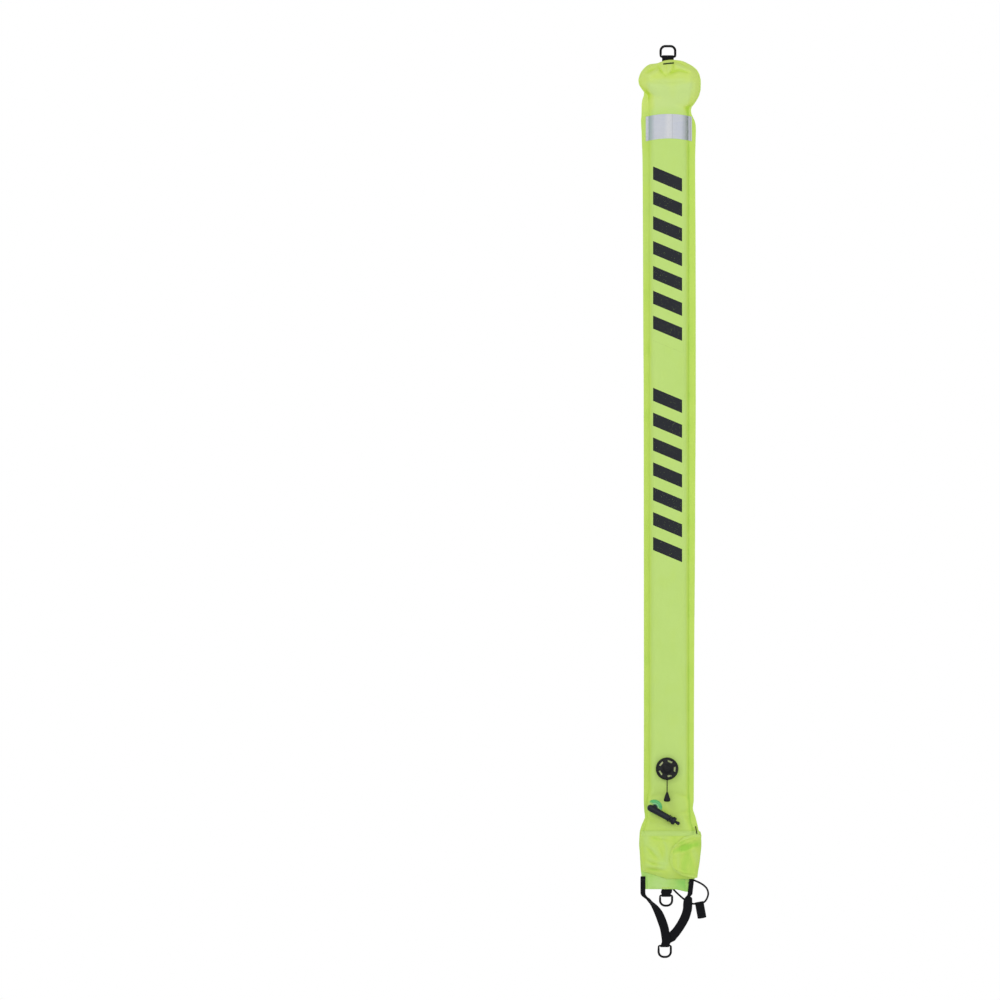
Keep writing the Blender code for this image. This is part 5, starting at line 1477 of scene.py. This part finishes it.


# Deep, edge and front limes of the tube, and how the head and the tail differ from it. The front lime is
# paler with a painted sheen, the deep lime serves mostly for painted shade, and the head's limes are painted
# lighter, as lit from above.
LIMES = [(0.325, 0.610, 0.055), (0.502, 0.683, 0.107), (0.484, 0.674, 0.168)]
HEAD_LIMES_LIT_FROM_ABOVE = [(0.47, 0.66, 0.045), (0.575, 0.722, 0.150), (0.536, 0.697, 0.225)]
TAIL_LIMES = [(0.25, 0.57, 0.10), (0.39, 0.64, 0.14), (0.46, 0.68, 0.22)]
INK = (0.016, 0.018, 0.022)
PRINT_ZONES = [(-275.0, -658.0), (-762.0, -1133.0)]
PRINT_LEFT, PRINT_RIGHT = -34.0, 30.0
BAR_PITCH, BAR_SHARE, BAR_SLOPE = 54.7, 0.53, 0.42
THREAD_PITCH = 0.42


def cloth_finish(name, printed=False, limes=LIMES):
    """Coated nylon: a fine plain weave, its tone set by the mark that each mesh carries."""
    made = Finish(name, "lime_fabric", limes[2], 0.5, Sheen_Weight=0.05, Sheen_Roughness=0.45,
                  Specular_IOR_Level=0.3)
    x, y, z = made.parts()
    tone = made.node("Attribute", "Fac", {"attribute_name": "mark"})
    base = made.tones(tone, limes)
    if limes is LIMES:
        # Above about z -130 the head takes its own limes, painted lighter as lit from above.
        base = made.mix(z.spread(-0.152, -0.126), base, made.tones(tone, HEAD_LIMES_LIT_FROM_ABOVE))
    if printed:
        tail = z.spread((FOOT - 188) * MM, (FOOT - 181) * MM, 1.0, 0.0)
        base = made.mix(tail, base, made.tones(tone, TAIL_LIMES))
    shade = made.mix(made.cloud(14), (0.965, 0.98, 0.93), (1.0, 1.0, 1.0))
    base = made.mix(1.0, base, shade, "MULTIPLY")
    rough = made.cloud(60, 4, 0.46, 0.58)
    if printed:
        ink = print_mask(made, x, y, z)
        base = made.mix(ink, base, INK)
        rough -= ink * 0.05
        made.set(Specular_IOR_Level=ink.spread(0.0, 1.0, 0.3, 0.12))
    weave = dots(x, z, math.pi / (THREAD_PITCH * MM)).spread(-1, 1)
    return made.dressed(base, rough, (made.noise(34, 5, 0.6), 1.1, 0.35), (made.noise(120), 0.25, 0.3),
                        (weave, 0.05, 0.5))


def dots(x, z, step):
    """Rises and dips from -1 to 1 in rows both ways, a whole wave where step times the way is a turn."""
    return (x * step).through("SINE") * (z * step).through("SINE")


def print_mask(made, x, y, z):
    """1 where the front is printed: two stacks of plain slanted bars, with faint wear."""
    slanted = z + x * BAR_SLOPE

    def bars(top, foot):
        at = made.maths("SUBTRACT", top * MM, slanted) / (BAR_PITCH * MM)
        return (at.through("FRACT") < BAR_SHARE) * (slanted < top * MM) * (slanted > foot * MM)

    high, low = [bars(top, foot) for top, foot in PRINT_ZONES]
    wide = (x > PRINT_LEFT * MM) * (x < PRINT_RIGHT * MM)
    return (high + low) * wide * (y < -0.004) * (made.noise(900, 2) > 0.27)


def tape_finish():
    """Retroreflective tape: silver with a fine sealed grid, faint level streaks and one join, with a painted
    highlight down its middle and painted shade where its ends turn round the tube.
    """
    made = Finish("reflective_silver", "reflective_tape", (0.42, 0.43, 0.47), 0.42, Metallic=0.1,
                  Coat_Weight=0.1, Coat_Roughness=0.3, Specular_IOR_Level=0.35)
    x = made.parts()[0]
    cells = made.node("TexVoronoi", "Distance", {"feature": "DISTANCE_TO_EDGE"}, Scale=620, Vector=made.place)
    edge = cells.spread(0.0, 0.12)
    stretched = made.node("Mapping", 0, Scale=(0.22, 0.2, 1.5), Vector=made.place)
    streak = made.noise(120, 4, 0.5, stretched).spread(0.3, 0.7)
    join = (x - 8.4 * MM).through("ABSOLUTE").spread(0.0003, 0.0011)
    # Painted shade where the band's ends turn round the tube, greenish at the left as a painted reflection of
    # the cloth.
    left = x.spread(-0.044, -0.030, 1.0, 0.0) * (x > -0.0442)
    right = (x.spread(0.026, 0.0435) * (x < 0.0438)) ** 1.4
    tone = made.mix(streak, (0.475, 0.50, 0.575), (0.54, 0.555, 0.585))
    # A painted highlight down the middle of the band.
    tone = made.mix(x.near(0.5 * MM, 12 * MM), tone, (0.62, 0.62, 0.63))
    tone = made.mix(join, (0.42, 0.425, 0.45), tone)
    tone = made.mix(left, tone, (0.24, 0.36, 0.33))
    tone = made.mix(right, tone, (0.115, 0.16, 0.11))
    # Painted shade at the crease near the right-hand end.
    tone = made.mix(x.near(48 * MM, 3.4 * MM), tone, (0.32, 0.33, 0.33))
    tone = made.mix(edge, (0.45, 0.46, 0.50), tone)
    return made.dressed(tone, streak.spread(0, 1, 0.36, 0.5), (made.noise(45), 0.6, 0.3), (edge, 0.04, 0.4),
                        (join, 0.15, 0.5))


def webbing_finish():
    """Woven black webbing: ribs across it and bright points where the threads cross, its colour following the
    weave's height: painted highlights on the raised threads and painted shade in the dips.
    """
    made = Finish("woven_webbing", "black_webbing", (0.008, 0.008, 0.009), 0.78, Specular_IOR_Level=0.06)
    x, y = made.woven_parts()
    rib = (y * (2 * math.pi / 1.35)).through("SINE")
    row = (y / 1.35).through("FLOOR") * math.pi
    thread = (x * (2 * math.pi / 1.15) + row).through("SINE")
    height = (rib + thread * 0.7).spread(-1.7, 1.7)
    fuzz = made.noise(1500)
    return made.dressed(made.mix(height, (0.003, 0.003, 0.004), (0.011, 0.011, 0.013)),
                        fuzz.spread(0.3, 0.7, 0.62, 0.82), (height, 0.22, 0.9), (fuzz, 0.06, 0.5))


def braid_finish():
    """The braided cover of a cord: two sets of strands crossing at a slant, with painted shade in the dips
    between them.
    """
    made = Finish("braided_cover", "cord_cover", (0.009, 0.009, 0.010), 0.65, Specular_IOR_Level=0.12)
    x, y = made.woven_parts()
    turn, slant = x * (16 * math.pi), y * 2.6
    height = ((turn + slant).through("SINE") * (turn - slant).through("SINE")).spread(-1, 1)
    return made.dressed(made.mix(height, (0.004, 0.004, 0.005), (0.013, 0.013, 0.015)),
                        made.cloud(800, 2, 0.55, 0.75), (height, 0.2, 0.9))


def plastic_finish(name, slot, colour, roughness, grain=900, shine=0.22):
    """Moulded plastic: fine spark grain, a few scuffs and a little uneven gloss."""
    made = Finish(name, slot, colour, roughness, Coat_Roughness=0.2, Specular_IOR_Level=shine)
    scuff = made.noise(55, 5, 0.7).spread(0.45, 0.7)
    worn = tuple(min(1.0, c * 1.4 + 0.003) for c in colour)
    return made.dressed(made.mix(scuff, colour, worn), made.cloud(130, 4, roughness - 0.07, roughness + 0.1),
                        (made.noise(grain, 2), 0.03, 0.5), (made.noise(60, 2), 0.12, 0.25))


def coated_finish():
    """Black powder coat over a steel ring, rubbed a little where things hang."""
    made = Finish("powder_coat", "coated_ring", (0.004, 0.004, 0.005), 0.5, Specular_IOR_Level=0.1)
    worn = made.noise(160, 5, 0.65).spread(0.6, 0.72, 0.0, 0.5)
    return made.dressed(made.mix(worn, (0.003, 0.003, 0.004), (0.014, 0.014, 0.015)),
                        made.cloud(420, 3, 0.42, 0.6), (made.noise(700, 2), 0.05, 0.5))


def clear_finish():
    """Green see-through urethane. Its colour, lime at the lower left and deepest green up to the right,
    paints the light coming through it, and a paler ring is a painted highlight on its raised rim.
    """
    made = Finish("clear_urethane", "clear_flange", (0.07, 0.45, 0.11), 0.3, IOR=1.48, Specular_IOR_Level=0.3)
    x, _, z = made.parts()
    right, up = x - FLANGE_X * MM, z - FLANGE_Z * MM
    reach = (right * right + up * up).through("SQRT")
    # Painted light: the share of deep green, where light comes through, up to the right.
    green = (right * 0.9 + up * 1.2).spread(0.002, 0.010)
    tint = made.mix(made.cloud(90), (0.075, 0.56, 0.15), (0.14, 0.63, 0.20))
    # A painted highlight on the raised ring.
    tint = made.mix(reach.near(0.0086, 0.0014), tint, (0.46, 0.86, 0.50))
    made.set(Transmission_Weight=green.spread(0, 1, 0.0, 0.2))
    return made.dressed(made.mix(green, (0.47, 0.70, 0.12), tint), made.cloud(300, 3, 0.22, 0.38),
                        (made.noise(240, 2), 0.05, 0.4))


def hook_finish():
    """Hook and loop tape in lime: dense fuzz in rows, with painted shade in the dips of the fuzz."""
    made = Finish("hook_and_loop_fuzz", "hook_and_loop", (0.34, 0.56, 0.08), 0.9, Sheen_Weight=0.5)
    x, _, z = made.parts()
    height = (dots(x, z, 2 * math.pi / (1.1 * MM)) + made.noise(1800, 4)).spread(-1, 2)
    return made.dressed(made.mix(height, (0.22, 0.40, 0.05), (0.42, 0.64, 0.12)),
                        made.cloud(900, 3, 0.82, 0.97), (height, 0.4, 0.9))


def thread_finish(name, colour):
    """Twisted sewing thread."""
    made = Finish(name, "thread", colour, 0.7, Sheen_Weight=0.06, Specular_IOR_Level=0.2)
    twist = made.cloud(2600, 2)
    dull, bright = tuple(c * 0.72 for c in colour), tuple(min(1.0, c * 1.25) for c in colour)
    return made.dressed(made.mix(twist, dull, bright), twist.spread(0, 1, 0.55, 0.72), (twist, 0.08, 0.7))


def metal_finish():
    """Bright drawn spring wire."""
    made = Finish("spring_steel", "stainless_steel", (0.55, 0.55, 0.56), 0.28, Metallic=1.0)
    drawn = made.noise(1400)
    return made.dressed(made.mix(drawn, (0.48, 0.48, 0.50), (0.62, 0.62, 0.63)),
                        drawn.spread(0.3, 0.7, 0.2, 0.38), (drawn, 0.01, 0.5))


def repaint(nodes, names, finish):
    """Carried over CAD nodes keep their meshes and get a finish and smooth faces."""
    for name in names:
        mesh = nodes[name].data
        mesh.materials.clear()
        mesh.materials.append(finish.material)
        shade_smooth(mesh, CAD_SHARPEST)


# Room

def build_camera():
    lens = bpy.data.cameras.new("camera")
    lens.type = "ORTHO"
    lens.ortho_scale = FRAME_WIDTH * MM
    camera = linked("camera", lens)
    camera.location = (FRAME_X * MM, -CAMERA_AWAY * MM, FRAME_Z * MM)
    camera.rotation_euler = (math.radians(90), 0, 0)
    bpy.context.scene.camera = camera


def build_light(name, place, aim, size, power):
    """A rectangle of light. Its place, aim and size are in metres."""
    lamp = bpy.data.lights.new(name, "AREA")
    lamp.shape = "RECTANGLE"
    lamp.size, lamp.size_y = size
    lamp.energy = power
    made = linked(name, lamp)
    made.location = place
    made.rotation_euler = (Vector(aim) - Vector(place)).to_track_quat("-Z", "Y").to_euler()


def seen_white(tree):
    """A share that is 1 for what the camera, a gloss or a clear piece sees, so the backdrop is white."""
    path = tree.nodes.new("ShaderNodeLightPath")
    total = path.outputs["Is Camera Ray"]
    for name in ("Is Glossy Ray", "Is Transmission Ray"):
        most = tree.nodes.new("ShaderNodeMath")
        most.operation = "MAXIMUM"
        tree.links.new(total, most.inputs[0])
        tree.links.new(path.outputs[name], most.inputs[1])
        total = most.outputs[0]
    return total


def build_world():
    """A pale sky that lights the scene and looks white."""
    world = bpy.data.worlds.new("studio")
    bpy.context.scene.world = world
    world.use_nodes = True
    tree = world.node_tree
    tree.nodes.clear()
    out = tree.nodes.new("ShaderNodeOutputWorld")
    mix = tree.nodes.new("ShaderNodeMixShader")
    tree.links.new(seen_white(tree), mix.inputs[0])
    for k, (colour, strength) in enumerate((((0.95, 0.97, 1.0, 1.0), 0.70), ((1.0, 1.0, 1.0, 1.0), 1.0))):
        glow = tree.nodes.new("ShaderNodeBackground")
        glow.inputs["Color"].default_value = colour
        glow.inputs["Strength"].default_value = strength
        tree.links.new(glow.outputs[0], mix.inputs[k + 1])
    tree.links.new(mix.outputs[0], out.inputs["Surface"])


def build_floor():
    mesh = bpy.data.meshes.new("floor")
    reach, z = 12.0, FLOOR_Z * MM
    mesh.from_pydata([(-reach, -reach, z), (reach, -reach, z), (reach, reach, z), (-reach, reach, z)], [],
                     [(0, 1, 2, 3)])
    floor = linked("floor", mesh)
    pale = bpy.data.materials.new("pale_floor")
    pale.use_nodes = True
    shader = pale.node_tree.nodes["Principled BSDF"]
    shader.inputs["Base Color"].default_value = (0.86, 0.86, 0.86, 1.0)
    shader.inputs["Roughness"].default_value = 0.8
    mesh.materials.append(pale)
    floor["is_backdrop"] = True


def build_room():
    build_world()
    build_floor()
    for light in (
        # name, place, aim, size and power
        ("front_box", (-0.4, -5.5, -0.6), (-0.1, 0, -1.0), (4.5, 4.0), 43),
        ("key_box", (-2.6, -3.2, 1.8), (0, 0, -0.8), (1.6, 1.6), 40),
        ("side_box", (3.4, -1.8, -0.2), (0, 0, -0.9), (1.6, 3.0), 20),
        ("low_box", (-0.3, -4.6, -1.8), (0, 0, -1.7), (2.4, 0.4), 10),
        ("back_box", (0.6, 4.6, 0.8), (0, 0, -1.0), (3.5, 3.0), 60),
    ):
        build_light(*light)


def corners(box):
    return [list(box[0]), list(box[1])]


def main():
    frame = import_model()
    cad_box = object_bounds()
    build_camera()
    cord, webbing = braid_finish(), webbing_finish()
    plastic = plastic_finish("cap_plastic", "black_plastic", (0.006, 0.0065, 0.007), 0.42, shine=0.16)
    dark = plastic_finish("inflator_plastic", "inflator_plastic", (0.005, 0.0078, 0.013), 0.34)
    rubber = plastic_finish("soft_rubber", "black_rubber", (0.012, 0.012, 0.013), 0.7, grain=500)
    steel = metal_finish()
    black_thread = thread_finish("black_thread", (0.02, 0.02, 0.022))
    build_bungee(cord, webbing, black_thread)
    build_pull(cord, plastic)
    printed, plain = cloth_finish("lime_cloth_printed", True), cloth_finish("lime_cloth")
    green_thread = thread_finish("green_thread", (0.54, 0.71, 0.14))
    dark_thread = thread_finish("dark_thread", (0.010, 0.028, 0.007))
    hook = hook_finish()
    build_tube(printed, plain)
    build_band(tape_finish())
    build_loops(webbing)
    build_bridle(webbing)
    build_rings(coated_finish())
    # The lime urethane is painted far lighter than the lime cloth: painted light in the shaded hollow under
    # the cap's slots.
    build_valve(plastic, plastic_finish("lime_urethane_painted_bright", "lime_flange", (0.74, 0.88, 0.36), 0.3, shine=0.4))
    build_inflator(dark, clear_finish())
    build_springs(steel)
    build_pouch(plain, hook, green_thread, webbing)
    build_flap(plain, hook, green_thread)
    build_tail(cloth_finish("lime_cloth_tail", limes=TAIL_LIMES), green_thread)
    build_tacks(dark_thread, black_thread, green_thread)
    repaint(frame["nodes"], ["opv_valve_seat", "opv_poppet"], plastic)
    repaint(frame["nodes"], ["opv_seal_disc", "inflator_check_valve", "inflator_o_ring"], rubber)
    build_room()
    bpy.context.scene.view_settings.view_transform = "Standard"
    {"cad": corners(cad_box), "visual": corners(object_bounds())}


main()
